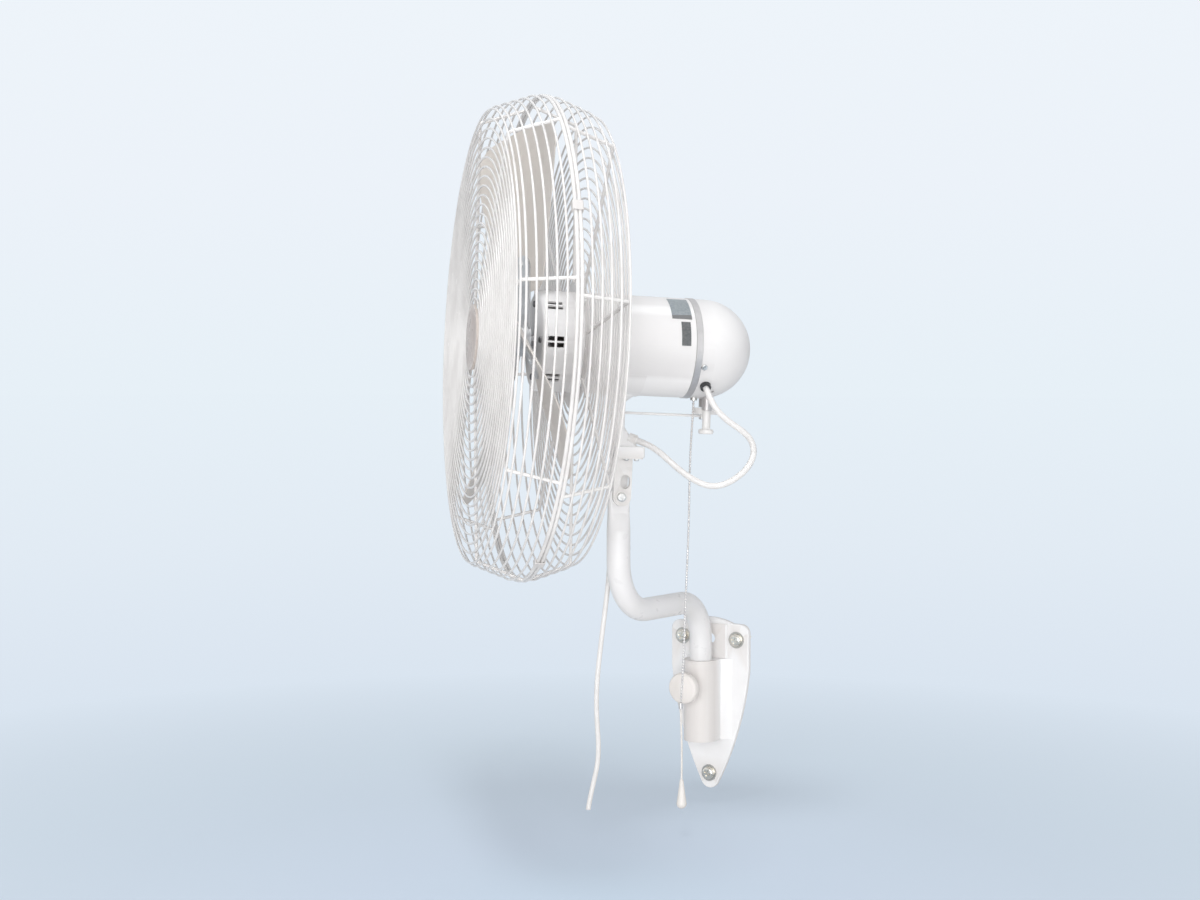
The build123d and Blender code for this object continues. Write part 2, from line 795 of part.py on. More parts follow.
def rear_endshield():
    front = shell_rear
    rear = band_rear
    disc = turned([(0, front), (band_radius, front), (band_radius, rear), (0, rear)])
    disc = chamfer(disc.edges().filter_by(GeomType.CIRCLE), band_edge)
    disc -= along_y(0, front - 1, rear - band_plate, 0, winding_outer)
    disc += along_y(0, front - 4, rear, 0, hub_seat_radius)
    disc -= along_y(0, rear - bearing_width, rear + 1, 0, bearing_radius + seat)
    disc -= along_y(0, front - 5, rear, 0, shaft_radius + 1)
    inside = motor_radius - dome_wall - seat
    lug = block(inside - dome_lug_depth, inside, rear - 1, rear + dome_lug_length,
                -dome_lug_half_width, dome_lug_half_width)
    lug = lug & along_y(0, rear - 1, rear + dome_lug_length, 0, inside)
    hole = along_x(inside - dome_lug_depth - 1, inside + 1, dome_screw_y, 0, dome_screw_radius + seat)
    for angle in dome_screw_angles:
        disc += spun(lug, -angle)
        disc -= spun(hole, -angle)
    return motor_frame * disc


def dome_shape(inset):
    """The solid of the dome, smaller by the inset."""
    radius = motor_radius - inset
    start = band_rear - (1 if inset else 0)
    bend = radius * sqrt(0.5)
    profile = [
        Line((0, start), (radius, start)),
        Line((radius, start), (radius, dome_centre)),
        ThreePointArc((radius, dome_centre), (bend, dome_centre + bend), (0, dome_centre + radius)),
        Line((0, dome_centre + radius), (0, start)),
    ]
    return revolve(make_face(profile), Axis.Y)


def rear_dome():
    dome = motor_frame * (dome_shape(0) - dome_shape(dome_wall))
    low = axis_height - motor_radius - 1
    dome -= upright(crank_x, crank_y, low, case_low, crank_boss_radius + gap)
    dome -= upright(stem_x, stem_y, low, case_low, stem_boss_radius + gap)
    dome -= upright(switch_x, switch_y, low, case_low, nipple_radius + gap / 2)
    outside = motor_radius + grommet_proud
    hole = along_x(motor_radius / 2, outside, grommet_y, 0, grommet_groove + seat)
    dome -= motor_frame * spun(hole, -grommet_angle)
    for angle in dome_screw_angles:
        hole = along_x(motor_radius / 2, outside, dome_screw_y, 0, dome_screw_radius + seat)
        dome -= motor_frame * spun(hole, -angle)
    port = along_x(motor_radius / 2, outside, dome_port_y, 0, dome_port_radius)
    return dome - motor_frame * spun(port, dome_port_angle)


def dome_screws():
    screws = []
    head = pan_head(dome_screw_head, dome_screw_head_height)
    head = Pos(motor_radius, dome_screw_y, 0) * Rot(0, 90, 0) * head
    shank = along_x(motor_radius - dome_lug_depth, motor_radius + 0.5, dome_screw_y, 0,
                    dome_screw_radius)
    for angle in dome_screw_angles:
        screws.append(motor_frame * spun(head + shank, -angle))
    return group(screws)


def stator_core():
    core = along_y(0, -stator_half_length, stator_half_length, 0, shell_inner - seat)
    core -= along_y(0, -stator_half_length - 1, stator_half_length + 1, 0, stator_bore)
    slot = block(stator_bore - 2, winding_outer - stator_tooth_wall, shell_front, shell_rear,
                 -stator_slot_width / 2, stator_slot_width / 2)
    for index in range(stator_slots):
        core -= spun(slot, (index + 0.5) * 360 / stator_slots)
    return motor_frame * core


def stator_windings():
    rings = []
    for side in (-1, 1):
        middle = side * (stator_half_length + winding_length / 2)
        ring = along_y(0, middle - winding_length / 2, middle + winding_length / 2, 0, winding_outer)
        ring -= along_y(0, middle - winding_length, middle + winding_length, 0, winding_inner)
        rings.append(motor_frame * fillet(ring.edges().filter_by(GeomType.CIRCLE), winding_edge))
    return group(rings)


def bearing(rear_y):
    groove_y = rear_y - bearing_groove_depth
    ring = turned([
        (shaft_radius + seat, rear_y - bearing_width), (bearing_radius, rear_y - bearing_width),
        (bearing_radius, rear_y), (shaft_radius + seat, rear_y),
    ])
    groove = turned([
        (bearing_groove_inner, groove_y), (bearing_groove_outer, groove_y),
        (bearing_groove_outer, rear_y + 1), (bearing_groove_inner, rear_y + 1),
    ])
    return motor_frame * (ring - groove)


def front_bearing():
    return bearing(endbell_front + endbell_face + bearing_step + bearing_width)


def rear_bearing():
    return bearing(band_rear)


def run_capacitor():
    can = block(-20, 20, case_front, case_rear - 6, 231, 252)
    can = fillet(can.edges().filter_by(Axis.Y), 4)
    return can + upright(-8, 115, 251, 256, 1.5) + upright(8, 115, 251, 256, 1.5)


def gear_case():
    case = block(case_left, case_right, case_front, case_rear, case_low, case_high)
    case = fillet(case.edges().filter_by(Axis.Z), case_corner)
    case += upright(crank_x, crank_y, crank_low + crank_thickness + gap + 0.6, case_low + 2,
                    crank_boss_radius)
    case += upright(stem_x, stem_y, stem_boss_low, case_low + 2, stem_boss_radius)
    case -= upright(crank_x, crank_y, 100, case_high - case_wall, crank_shaft_radius + running)
    half = gear_thickness / 2 + 1.5
    case -= upright(crank_x, crank_y, axis_height - half, axis_height + half, crank_gear_radius + 2)
    case -= upright(stem_x, stem_y, 100, case_low + stem_bore_depth, stem_radius + running)
    case -= motor_frame * along_y(0, case_front - 1, case_rear - case_wall, 0, shaft_radius + 1)
    return case


def pull_switch():
    body = upright(switch_x, switch_y, switch_low, switch_low + switch_height, switch_radius)
    body += upright(switch_x, switch_y, nipple_low, switch_low + 1, nipple_radius)
    return body - upright(switch_x, switch_y, nipple_low - 1, switch_low + switch_height - 2, nipple_bore)


def cord_grommet():
    inner = motor_radius - dome_wall
    outside = motor_radius + grommet_proud
    flange = along_x(motor_radius - 2, outside, grommet_y, 0, grommet_radius)
    flange -= along_y(0, grommet_y - 15, grommet_y + 15, 0, motor_radius + seat)
    body = flange + along_x(inner - grommet_depth, outside, grommet_y, 0, grommet_groove)
    body += along_x(inner - grommet_depth, inner - gap, grommet_y, 0, grommet_radius)
    body -= along_x(outside - 3, outside + 10, grommet_y, 0, service_diameter / 2 + 0.4)
    return motor_frame * spun(body, -grommet_angle)


def label_plates():
    plates = []
    for low, high, y1, y2 in ((33, 71, 50, 78), (1, 29, 62, 75)):
        arc = [radians(low), radians((low + high) / 2), radians(high)]
        rings = []
        for radius in (motor_radius, motor_radius + 0.7):
            points = [(radius * cos(angle), radius * sin(angle)) for angle in arc]
            rings.append((ThreePointArc(*points), points[0], points[2]))
        face = make_face([rings[0][0], rings[1][0], Line(rings[0][1], rings[1][1]),
                          Line(rings[0][2], rings[1][2])])
        plates.append(motor_frame * extrude(Plane.XZ.offset(-y2) * face, y2 - y1))
    return group(plates)


# ---------------------------------------------------------------- rotor

def rotor_shaft():
    worm_start = crank_y - worm_length / 2
    shaft = along_y(0, shaft_front, band_rear, 0, shaft_radius)
    shaft = chamfer(shaft.edges().sort_by(Axis.Y)[0], 1)
    shaft += along_y(0, band_rear - 1, worm_start + worm_length + 0.8, 0, 4)
    shaft += along_y(0, worm_start, worm_start + worm_length, 0, worm_radius)
    return motor_frame * shaft


def rotor_core():
    core = along_y(0, -stator_half_length, stator_half_length, 0, rotor_radius)
    core += along_y(0, -stator_half_length - 10, stator_half_length + 10, 0, rotor_radius - 6)
    core -= along_y(0, -80, 80, 0, shaft_radius + seat)
    return motor_frame * core


def pressed_sheet(inner, outer, start, end, width):
    """A strip of sheet bent to the curve of a blade, from radius start to end."""
    half = asin(width / 2 / inner)
    arcs = []
    for radius in (inner, outer):
        points = [(radius * sin(a), blade_curve_radius - radius * cos(a)) for a in (-half, 0, half)]
        arcs.append((ThreePointArc(*points), points[0], points[2]))
    face = make_face([arcs[0][0], arcs[1][0], Line(arcs[0][1], arcs[1][1]),
                      Line(arcs[0][2], arcs[1][2])])
    strip = extrude(Plane.YZ * Rot(0, 0, 90) * face, end - start)
    return Pos(start, 0, 0) * strip


def blade_outline():
    root = blade_root_width / 2
    tip = blade_tip_width / 2
    corner = sqrt(blade_tip_radius ** 2 - tip ** 2)
    edges = [
        Line((blade_root_radius, -root), (corner, -tip)),
        ThreePointArc((corner, -tip), (blade_tip_radius, 0), (corner, tip)),
        Line((corner, tip), (blade_root_radius, root)),
        Line((blade_root_radius, root), (blade_root_radius, -root)),
    ]
    face = make_face(edges)
    tips = face.vertices().sort_by(Axis.X)[-2:]
    face = fillet(tips, blade_corner)
    roots = face.vertices().sort_by(Axis.X)[:2]
    return fillet(roots, blade_corner * 0.5)


def rivet_holes(radius):
    holes = along_y(rivet_radii[0], -20, 20, 0, radius)
    return holes + along_y(rivet_radii[1], -20, 20, 0, radius)


def blade(index):
    outline = Plane.XZ * blade_outline()
    sheet = pressed_sheet(blade_curve_radius, blade_curve_radius + blade_sheet,
                          blade_root_radius - 10, blade_tip_radius + 10, blade_tip_width + 30)
    sheet = sheet & extrude(outline, 60, both=True)
    sheet -= rivet_holes(rivet_radius + seat)
    place = Pos(0, blade_y, 0) * Rot(blade_pitch, 0, 0)
    turn = blade_turn + index * 360 / blade_count
    return motor_frame * spun(place * sheet, turn)


def fan_hub():
    hub = along_y(0, hub_front, hub_rear, 0, hub_radius)
    hub = fillet(hub.edges().sort_by(Axis.Y)[0], hub_edge)
    for index in range(blade_count):
        strip = pressed_sheet(blade_curve_radius - arm_sheet, blade_curve_radius,
                              shaft_radius + 4, arm_tip_radius, arm_width)
        end = extrude(Plane.XZ * Pos(arm_tip_radius - arm_width / 2, 0) * Circle(arm_width / 2), 40,
                      both=True)
        keep = block(0, arm_tip_radius - arm_width / 2, -40, 40, -arm_width, arm_width)
        strip = strip & (end + keep)
        strip -= rivet_holes(rivet_radius + seat)
        place = Pos(0, blade_y, 0) * Rot(blade_pitch, 0, 0)
        hub += spun(place * strip, blade_turn + index * 360 / blade_count)
    hub -= along_y(0, hub_front - 1, hub_rear + 1, 0, shaft_radius + seat)
    hub -= upright(0, hub_screw_y, 0, hub_radius + 1, hub_screw_radius + seat)
    return motor_frame * hub


def hub_screw():
    low = shaft_radius + gap / 2
    high = hub_radius + 1
    screw = upright(0, hub_screw_y, low, high, hub_screw_radius)
    return motor_frame * (screw - Pos(0, hub_screw_y, high) * Box(3 * hub_screw_radius, 1, 2))


def blade_rivets():
    """The front heads stand clear of the arm, which curves up around them."""
    rivets = []
    front_seat = -arm_sheet - seat - rivet_head ** 2 / (2 * (blade_curve_radius - arm_sheet))
    for index in range(blade_count):
        for radius in rivet_radii:
            pin = along_y(radius, front_seat - 1, blade_sheet + 1, 0, rivet_radius)
            for seat_y, outward in ((front_seat, 1), (blade_sheet, -1)):
                head = Pos(radius, seat_y, 0) * Rot(outward * 90, 0, 0) * rivet_head_shape()
                pin += head
            place = Pos(0, blade_y, 0) * Rot(blade_pitch, 0, 0)
            rivets.append(motor_frame * spun(place * pin, blade_turn + index * 360 / blade_count))
    return group(rivets)


def rivet_head_shape():
    head = Cylinder(rivet_head, rivet_head_height, align=(Align.CENTER, Align.CENTER, Align.MIN))
    return fillet(head.edges().sort_by(Axis.Z)[-1], rivet_head_edge)


# ---------------------------------------------------------------- oscillator

def crank():
    top = crank_low + crank_thickness
    disc = upright(crank_x, crank_y, crank_low, top, crank_radius)
    disc = chamfer(disc.edges().filter_by(GeomType.CIRCLE), 0.8)
    disc -= upright(crank_x - crank_throw, crank_y, crank_low - 1, top + 1, link_screw_radius + seat)
    shaft = upright(crank_x, crank_y, top - 1, axis_height + gear_thickness / 2 + 1, crank_shaft_radius)
    return disc + shaft


def crank_gear():
    half = gear_thickness / 2
    gear = upright(crank_x, crank_y, axis_height - half, axis_height + half, crank_gear_radius)
    return gear - upright(crank_x, crank_y, axis_height - 20, axis_height + 20,
                          crank_shaft_radius + seat)


def link_rod():
    eye = Cylinder(link_eye_radius, link_eye_thickness)
    eye -= Cylinder(link_screw_radius + running, link_eye_thickness + 2)
    start = Vector(anchor_x, anchor_y, link_height)
    end = Vector(crank_x - crank_throw, crank_y, link_height)
    way = (end - start).normalized()
    length = (end - start).length - 2 * (link_eye_radius - 1)
    middle = (start + end) * 0.5
    bar = Plane(origin=middle, z_dir=way) * Cylinder(link_wire / 2, length)
    return bar + Pos(start) * eye + Pos(end) * eye


def crank_screw():
    x = crank_x - crank_throw
    low = link_height - link_wire / 2 - 0.2
    shank = upright(x, crank_y, low - 0.5, link_height + link_wire / 2 + 0.2, link_screw_radius)
    return shank + Pos(x, crank_y, low) * Rot(180, 0, 0) * pan_head(link_screw_head, link_screw_head_height)


def oscillator_knob():
    flange_top = stem_flange_low + stem_flange_height
    flange = upright(stem_x, stem_y, stem_flange_low, flange_top, stem_flange_radius)
    flange = fillet(flange.edges().filter_by(GeomType.CIRCLE), stem_flange_edge)
    post = upright(stem_x, stem_y, flange_top - 1, stem_boss_low - gap, stem_knob_radius)
    stem = upright(stem_x, stem_y, stem_boss_low - 1, case_low + stem_depth, stem_radius)
    return flange + post + stem


# ---------------------------------------------------------------- guard

def rim_ring(y):
    return Pos(0, y, 0) * Rot(90, 0, 0) * Torus(rim_line, rim_wire / 2)


def wire_ring(radius, y):
    section = RegularPolygon(ring_wire / 2, ring_wire_sides, rotation=ring_wire_turn)
    return revolve(Pos(radius, y, 0) * section, Axis.Y, 360)


def rib_wires(line, turn, inward):
    """The ribs. Each one's surface closes along its inner side, away from the rings."""
    path = FilletPolyline(*line, radius=[rib_bend] * (len(line) - 2))
    start = Plane(origin=path @ 0, x_dir=(0, inward, 0), z_dir=path % 0)
    section = start * Circle(rib_wire / 2)
    rib = sweep(section, path=path)
    return [spun(rib, turn + index * 360 / rib_count) for index in range(rib_count)]


def rings_along(start, end, first, pitch, last, outward):
    """Rings welded to the outside of the ribs along one straight run."""
    start = Vector(*start)
    way = (Vector(*end) - start).normalized()
    out = Vector(way.Y, -way.X, 0) * outward
    count = round((last - first) / pitch)
    rings = []
    for index in range(count + 1):
        place = start + way * (first + index * (last - first) / count) + out * ring_offset
        rings.append(wire_ring(place.X, place.Y))
    return rings


def bend_ring(line):
    """The ring on the outside of the ribs' bend."""
    inner, corner, end = [Vector(*point) for point in line]
    before = (corner - inner).normalized()
    after = (end - corner).normalized()
    half_turn = radians(before.get_angle(after)) / 2
    out = (before - after).normalized()
    place = corner + out * (ring_offset - rib_bend * (1 / cos(half_turn) - 1))
    return wire_ring(place.X, place.Y)


def front_guard():
    rim_ring_y = rim_y - rim_offset
    line = [
        (badge_radius - badge_overlap, front_centre_y, 0),
        (front_edge_radius - ring_offset, front_edge_y, 0),
        (rim_line + rib_end, rim_ring_y, 0),
    ]
    face = (Vector(*line[1]) - Vector(*line[0])).length
    side = (Vector(*line[2]) - Vector(*line[1])).length
    ribs = rib_wires(line, front_rib_turn, 1)
    rings = rings_along(line[0], line[1], rib_wire / 2, ring_pitch, face - ring_pitch, 1)
    rings += [bend_ring(line)]
    rings += rings_along(line[1], line[2], side_first, side_pitch, side - side_pitch, 1)
    rings += [rim_ring(rim_ring_y)]
    body = ribs[0].fuse(*ribs[1:], *rings)
    return motor_frame * body


def rear_guard():
    rim_ring_y = rim_y + rim_offset
    line = [
        (plate_ring_outer - rib_lap, rear_edge_y, 0),
        (rear_edge_radius - ring_offset, rear_edge_y, 0),
        (rim_line + rib_end, rim_ring_y, 0),
    ]
    face = (Vector(*line[1]) - Vector(*line[0])).length
    side = (Vector(*line[2]) - Vector(*line[1])).length
    ribs = rib_wires(line, rear_rib_turn, -1)
    rings = rings_along(line[0], line[1], rear_ring_first, rear_ring_pitch,
                        face - rear_ring_pitch, -1)
    rings += [bend_ring(line)]
    rings += rings_along(line[1], line[2], rear_side_pitch, rear_side_pitch,
                         side - rear_side_pitch, -1)
    rings += [rim_ring(rim_ring_y)]
    plate = turned([
        (plate_ring_inner, plate_ring_back - plate_ring_thickness),
        (plate_ring_outer, plate_ring_back - plate_ring_thickness),
        (plate_ring_outer, plate_ring_back), (plate_ring_inner, plate_ring_back),
    ])
    for angle in lug_angles:
        hole = along_y(lug_radius, plate_ring_back - 10, plate_ring_back + 10, 0,
                       guard_bolt_radius + seat)
        plate -= spun(hole, angle)
    body = ribs[0].fuse(*ribs[1:], *rings, plate)
    return motor_frame * body


def guard_bolts():
    bolts = []
    seat_y = plate_ring_back - plate_ring_thickness
    for angle in lug_angles:
        head = pan_head(guard_bolt_head, guard_bolt_head_height)
        head = Pos(lug_radius, seat_y, 0) * Rot(90, 0, 0) * head
        shank = along_y(lug_radius, seat_y - 0.5, lug_rear - 3, 0, guard_bolt_radius)
        bolts.append(motor_frame * spun(head + shank, angle))
    return group(bolts)


def guard_clips():
    clips = []
    half = rim_offset + rim_wire / 2 + gap / 2
    for index in range(clip_count):
        outer = block(rim_radius - rim_wire - clip_lap, rim_radius + clip_sheet + gap / 2,
                      rim_y - half - clip_sheet, rim_y + half + clip_sheet,
                      -clip_width / 2, clip_width / 2)
        outer = fillet(outer.edges().filter_by(Axis.Z).sort_by(Axis.X)[-2:], clip_corner)
        room = block(rim_radius - 20, rim_radius + gap / 2, rim_y - half, rim_y + half,
                     -clip_width, clip_width)
        clips.append(motor_frame * spun(outer - room, clip_turn + index * 360 / clip_count))
    return group(clips)


def badge():
    back = front_centre_y - ring_offset - ring_wire / 2 - 0.05
    face = back - badge_thickness
    body = along_y(0, face, back, 0, badge_radius)
    ball_radius = (badge_radius ** 2 + badge_crown ** 2) / (2 * badge_crown)
    ball = Pos(0, face - badge_crown + ball_radius, 0) * Sphere(ball_radius)
    body += ball & along_y(0, face - badge_crown, back, 0, badge_radius)
    rim = along_y(0, back - 0.5, back + badge_rim, 0, badge_radius)
    rim -= along_y(0, back - 1, back + badge_rim + 1, 0, badge_radius - badge_rim_wall)
    return motor_frame * (body + rim)


# ---------------------------------------------------------------- cords and chain

def corner_radii(route, name):
    """Each corner's arc is as large as its two runs allow."""
    points = [Vector(*point) for point in route]
    radii = []
    for before, here, after in zip(points, points[1:], points[2:]):
        turn = radians((here - before).get_angle(after - here))
        shorter = min((here - before).length, (after - here).length)
        radii.append(0.45 * shorter / tan(turn / 2))
    print(name, "radii", [round(radius) for radius in radii])
    return radii


def cord_tube(route, diameter, name):
    path = FilletPolyline(*route, radius=corner_radii(route, name))
    section = Plane(origin=path @ 0, z_dir=path % 0) * Circle(diameter / 2)
    tube = sweep(section, path=path)
    expected = path.length * pi * diameter ** 2 / 4
    print(name, "length", round(path.length, 1), "volume share", round(tube.volume / expected, 4))
    return tube


def cord_gland():
    flange = SlotCenterToCenter(ear_hole_height - ear_hole_width, ear_hole_width + 4)
    plug = SlotCenterToCenter(ear_hole_height - ear_hole_width, ear_hole_width - 2 * seat)
    place = Plane.YZ * Pos(ear_hole_y, ear_hole_z) * Rot(0, 0, 90)
    body = Pos(-ear_outer, 0, 0) * extrude(place * plug, ear_thickness)
    body += Pos(-ear_outer - gland_flange, 0, 0) * extrude(place * flange, gland_flange)
    nose = Rot(0, -90, 0) * Cone(*gland_nose_radii, gland_nose)
    body += Pos(-ear_outer - gland_nose, ear_hole_y, ear_hole_z) * nose
    start = supply_route[0][0] + 0.5
    return body - along_x(start, -60, ear_hole_y, ear_hole_z, supply_diameter / 2 + running)


def bead_chain():
    return cord_tube(chain_route, chain_diameter, "bead_chain")


def pull_string():
    return cord_tube(string_route, string_diameter, "pull_string")


def chain_bell():
    top = Vector(*chain_route[-1])
    bell = Pos(top) * Pos(0, 0, -bell_length / 2) * Cylinder(bell_radius, bell_length)
    return fillet(bell.edges().filter_by(GeomType.CIRCLE), bell_edge)


def chain_pull():
    top = Vector(*string_route[-1])
    straight = pull_length - pull_radius
    lines = [
        Line((0, 0), (pull_neck_radius, 0)),
        Line((pull_neck_radius, 0), (pull_radius, -straight)),
        CenterArc((0, -straight), pull_radius, 0, -90),
        Line((0, -pull_length), (0, 0)),
    ]
    pull = revolve(make_face(lines), Axis.Y)
    return Pos(top) * Rot(90, 0, 0) * pull


# ---------------------------------------------------------------- files

on_wall = {
    "wall_plate": wall_plate,
    "wall_washers": wall_washers,
    "wall_screws": wall_screws,
    "clamp_knob": clamp_knob,
    "arm_pipe": arm_pipe,
    "bead_chain": bead_chain,
    "chain_bell": chain_bell,
    "pull_string": pull_string,
    "chain_pull": chain_pull,
}
on_head = {
    "clevis": clevis,
    "clevis_screws": clevis_screws,
    "tilt_bolt": tilt_bolt,
    "tilt_nut": tilt_nut,
    "tilt_washers": tilt_washers,
    "neck_casting": neck_casting,
    "thrust_washer": thrust_washer,
    "kingpin": kingpin,
    "entry_bush": entry_bush,
    "link_anchor_screw": link_anchor_screw,
    "cord_gland": cord_gland,
    "motor_housing": motor_housing,
    "front_endbell": front_endbell,
    "endbell_bolts": endbell_bolts,
    "rear_endshield": rear_endshield,
    "rear_dome": rear_dome,
    "dome_screws": dome_screws,
    "stator_core": stator_core,
    "stator_windings": stator_windings,
    "front_bearing": front_bearing,
    "rear_bearing": rear_bearing,
    "run_capacitor": run_capacitor,
    "gear_case": gear_case,
    "pull_switch": pull_switch,
    "cord_grommet": cord_grommet,
    "label_plates": label_plates,
    "rotor_shaft": rotor_shaft,
    "rotor_core": rotor_core,
    "fan_hub": fan_hub,
    "hub_screw": hub_screw,
    "blade_rivets": blade_rivets,
    "crank": crank,
    "crank_gear": crank_gear,
    "link_rod": link_rod,
    "crank_screw": crank_screw,
    "oscillator_knob": oscillator_knob,
    "front_guard": front_guard,
    "rear_guard": rear_guard,
    "guard_bolts": guard_bolts,
    "guard_clips": guard_clips,
    "badge": badge,
}

os.makedirs("parts", exist_ok=True)


def save(part, name):
    export_step(part, "parts/" + name + ".step")


for name, make in on_wall.items():
    save(make(), name)
for name, make in on_head.items():
    save(head_frame * make(), name)
for index in range(blade_count):
    save(head_frame * blade(index), "fan_blade_" + str(index + 1))
save(head_frame * cord_tube(service_route, service_diameter, "service_cord"), "service_cord")
save(head_frame * cord_tube(supply_route, supply_diameter, "supply_cord"), "supply_cord")
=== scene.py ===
from math import cos, pi, radians, sin

import bmesh
import bpy
from mathutils import Matrix, Vector


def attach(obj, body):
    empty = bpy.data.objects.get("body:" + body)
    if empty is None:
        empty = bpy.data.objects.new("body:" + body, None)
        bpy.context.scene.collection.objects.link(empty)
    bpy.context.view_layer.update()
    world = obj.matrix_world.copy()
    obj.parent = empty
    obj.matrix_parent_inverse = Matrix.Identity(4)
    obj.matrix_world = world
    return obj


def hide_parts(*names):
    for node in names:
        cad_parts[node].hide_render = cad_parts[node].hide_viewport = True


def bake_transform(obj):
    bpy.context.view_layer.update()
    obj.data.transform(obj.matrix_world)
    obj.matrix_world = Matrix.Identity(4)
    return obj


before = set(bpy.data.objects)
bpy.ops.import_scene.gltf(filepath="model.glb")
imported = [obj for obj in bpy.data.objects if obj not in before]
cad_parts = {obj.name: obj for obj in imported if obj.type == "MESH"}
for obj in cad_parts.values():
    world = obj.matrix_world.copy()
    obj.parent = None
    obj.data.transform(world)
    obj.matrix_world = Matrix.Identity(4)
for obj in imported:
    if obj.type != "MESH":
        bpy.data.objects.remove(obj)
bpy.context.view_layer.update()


# Wall plate. A die casting with an arched top, a raised pad and a deep socket
# for the arm. It is linished at the edges and powder coated in gloss white.
def new_finish(name):
    """A material with its nodes and its shader."""
    material = bpy.data.materials.new(name)
    material.use_nodes = True
    tree = material.node_tree
    return material, tree, tree.nodes["Principled BSDF"]


def add(tree, kind, values=None, **settings):
    """One node, with its sockets set by name."""
    node = tree.nodes.new(kind)
    for name, value in settings.items():
        setattr(node, name, value)
    for name, value in (values or {}).items():
        node.inputs[name].default_value = value
    return node


noise_roughness = 0.55


def grain(tree, scale, detail=3.0, stretch=(1, 1, 1)):
    """Noise fixed to the piece, with the scale counted per metre."""
    place = add(tree, "ShaderNodeTexCoord")
    way = add(tree, "ShaderNodeMapping", {"Scale": stretch})
    noise = add(tree, "ShaderNodeTexNoise",
                {"Scale": scale, "Detail": detail, "Roughness": noise_roughness})
    tree.links.new(place.outputs["Object"], way.inputs["Vector"])
    tree.links.new(way.outputs["Vector"], noise.inputs["Vector"])
    return noise.outputs["Fac"]


def tones(tree, amount, *stops):
    """A colour for each level, as (level, colour)."""
    ramp = add(tree, "ShaderNodeValToRGB")
    band = ramp.color_ramp
    while len(band.elements) < len(stops):
        band.elements.new(0.5)
    for element, (level, colour) in zip(band.elements, stops):
        element.position = level
        element.color = (*colour, 1)
    tree.links.new(amount, ramp.inputs["Fac"])
    return ramp.outputs["Color"]


def laid_over(tree, amount, under, over):
    """One colour over another, by amount. Either may be a plain colour."""
    mix = add(tree, "ShaderNodeMix", data_type="RGBA")
    for socket, colour in ((mix.inputs[6], under), (mix.inputs[7], over)):
        if isinstance(colour, tuple):
            socket.default_value = (*colour, 1)
        else:
            tree.links.new(colour, socket)
    tree.links.new(amount, mix.inputs[0])
    return mix.outputs[2]


def between(tree, amount, low, high, start=0.3, end=0.7):
    """A level taken from start..end to low..high."""
    span = add(tree, "ShaderNodeMapRange",
               {"From Min": start, "From Max": end, "To Min": low, "To Max": high})
    tree.links.new(amount, span.inputs["Value"])
    return span.outputs["Result"]


def edges(tree, start, end):
    """How sharp an outer edge is, from 0 on the flat to 1."""
    surface = add(tree, "ShaderNodeNewGeometry")
    return between(tree, surface.outputs["Pointiness"], 0, 1, start, end)


def relief(tree, shader, height, strength, depth):
    """Fine relief of the surface, with its depth in metres."""
    bump = add(tree, "ShaderNodeBump", {"Strength": strength, "Distance": depth})
    earlier = shader.inputs["Normal"].links
    if earlier:
        tree.links.new(earlier[0].from_socket, bump.inputs["Normal"])
    tree.links.new(height, bump.inputs["Height"])
    tree.links.new(bump.outputs["Normal"], shader.inputs["Normal"])


def powder_coat(name, tone, shade, thin, peel=650, gloss=(0.24, 0.38), depth=0.0003,
                worn=(0.53, 0.62)):
    """Gloss powder coat. It is thin at the edges and has a fine orange peel."""
    material, tree, shader = new_finish(name)
    drift = tones(tree, grain(tree, 17), (0.36, shade), (0.58, tone))
    specks = between(tree, grain(tree, 900, 2.0), 0, 0.5, 0.66, 0.74)
    dusty = laid_over(tree, specks, drift, shade)
    colour = laid_over(tree, edges(tree, *worn), dusty, thin)
    tree.links.new(colour, shader.inputs["Base Color"])
    tree.links.new(between(tree, grain(tree, 55), *gloss), shader.inputs["Roughness"])
    relief(tree, shader, grain(tree, peel, 1.5), 0.16, depth)
    relief(tree, shader, grain(tree, 90, 2.0), 0.08, 0.00018)
    shader.inputs["Specular IOR Level"].default_value = 0.5
    return material


def finish(material, *nodes):
    """Gives CAD nodes their finish."""
    for name in nodes:
        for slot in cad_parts[name].material_slots:
            slot.material = material


plate_coat = powder_coat(
    "plate_coat", tone=(0.875, 0.875, 0.88), shade=(0.845, 0.843, 0.845), thin=(0.74, 0.71, 0.69),
    peel=480, gloss=(0.28, 0.45), depth=0.0005)
finish(plate_coat, "wall_plate")


# Wall screws and washers. Three bright zinc-plated cross-head screws pass
# through the plate into the wall, each on a wide washer painted darker as shade round the head.
def turned_metal(name, tone, dark, rough, lines=900, stretch=(1, 1, 1)):
    """Plated or turned metal, with fine tool lines and darker patches."""
    material, tree, shader = new_finish(name)
    stain = tones(tree, grain(tree, 120), (0.34, dark), (0.62, tone))
    worn = laid_over(tree, edges(tree, 0.52, 0.60), stain, tone)
    tree.links.new(worn, shader.inputs["Base Color"])
    shader.inputs["Metallic"].default_value = 1.0
    tree.links.new(between(tree, grain(tree, 260), rough, rough + 0.16), shader.inputs["Roughness"])
    relief(tree, shader, grain(tree, lines, 2.0, stretch=stretch), 0.22, 0.0002)
    return material


screw_zinc = turned_metal("screw_zinc", (0.93, 0.89, 0.81), (0.60, 0.55, 0.47), 0.20)
finish(screw_zinc, "wall_screws")
# The washers' zinc is painted darker, as the shade ring round each screw head.
washer_zinc_painted_shade = turned_metal("washer_zinc_painted_shade", (0.56, 0.53, 0.48), (0.34, 0.32, 0.28), 0.26)
finish(washer_zinc_painted_shade, "wall_washers")


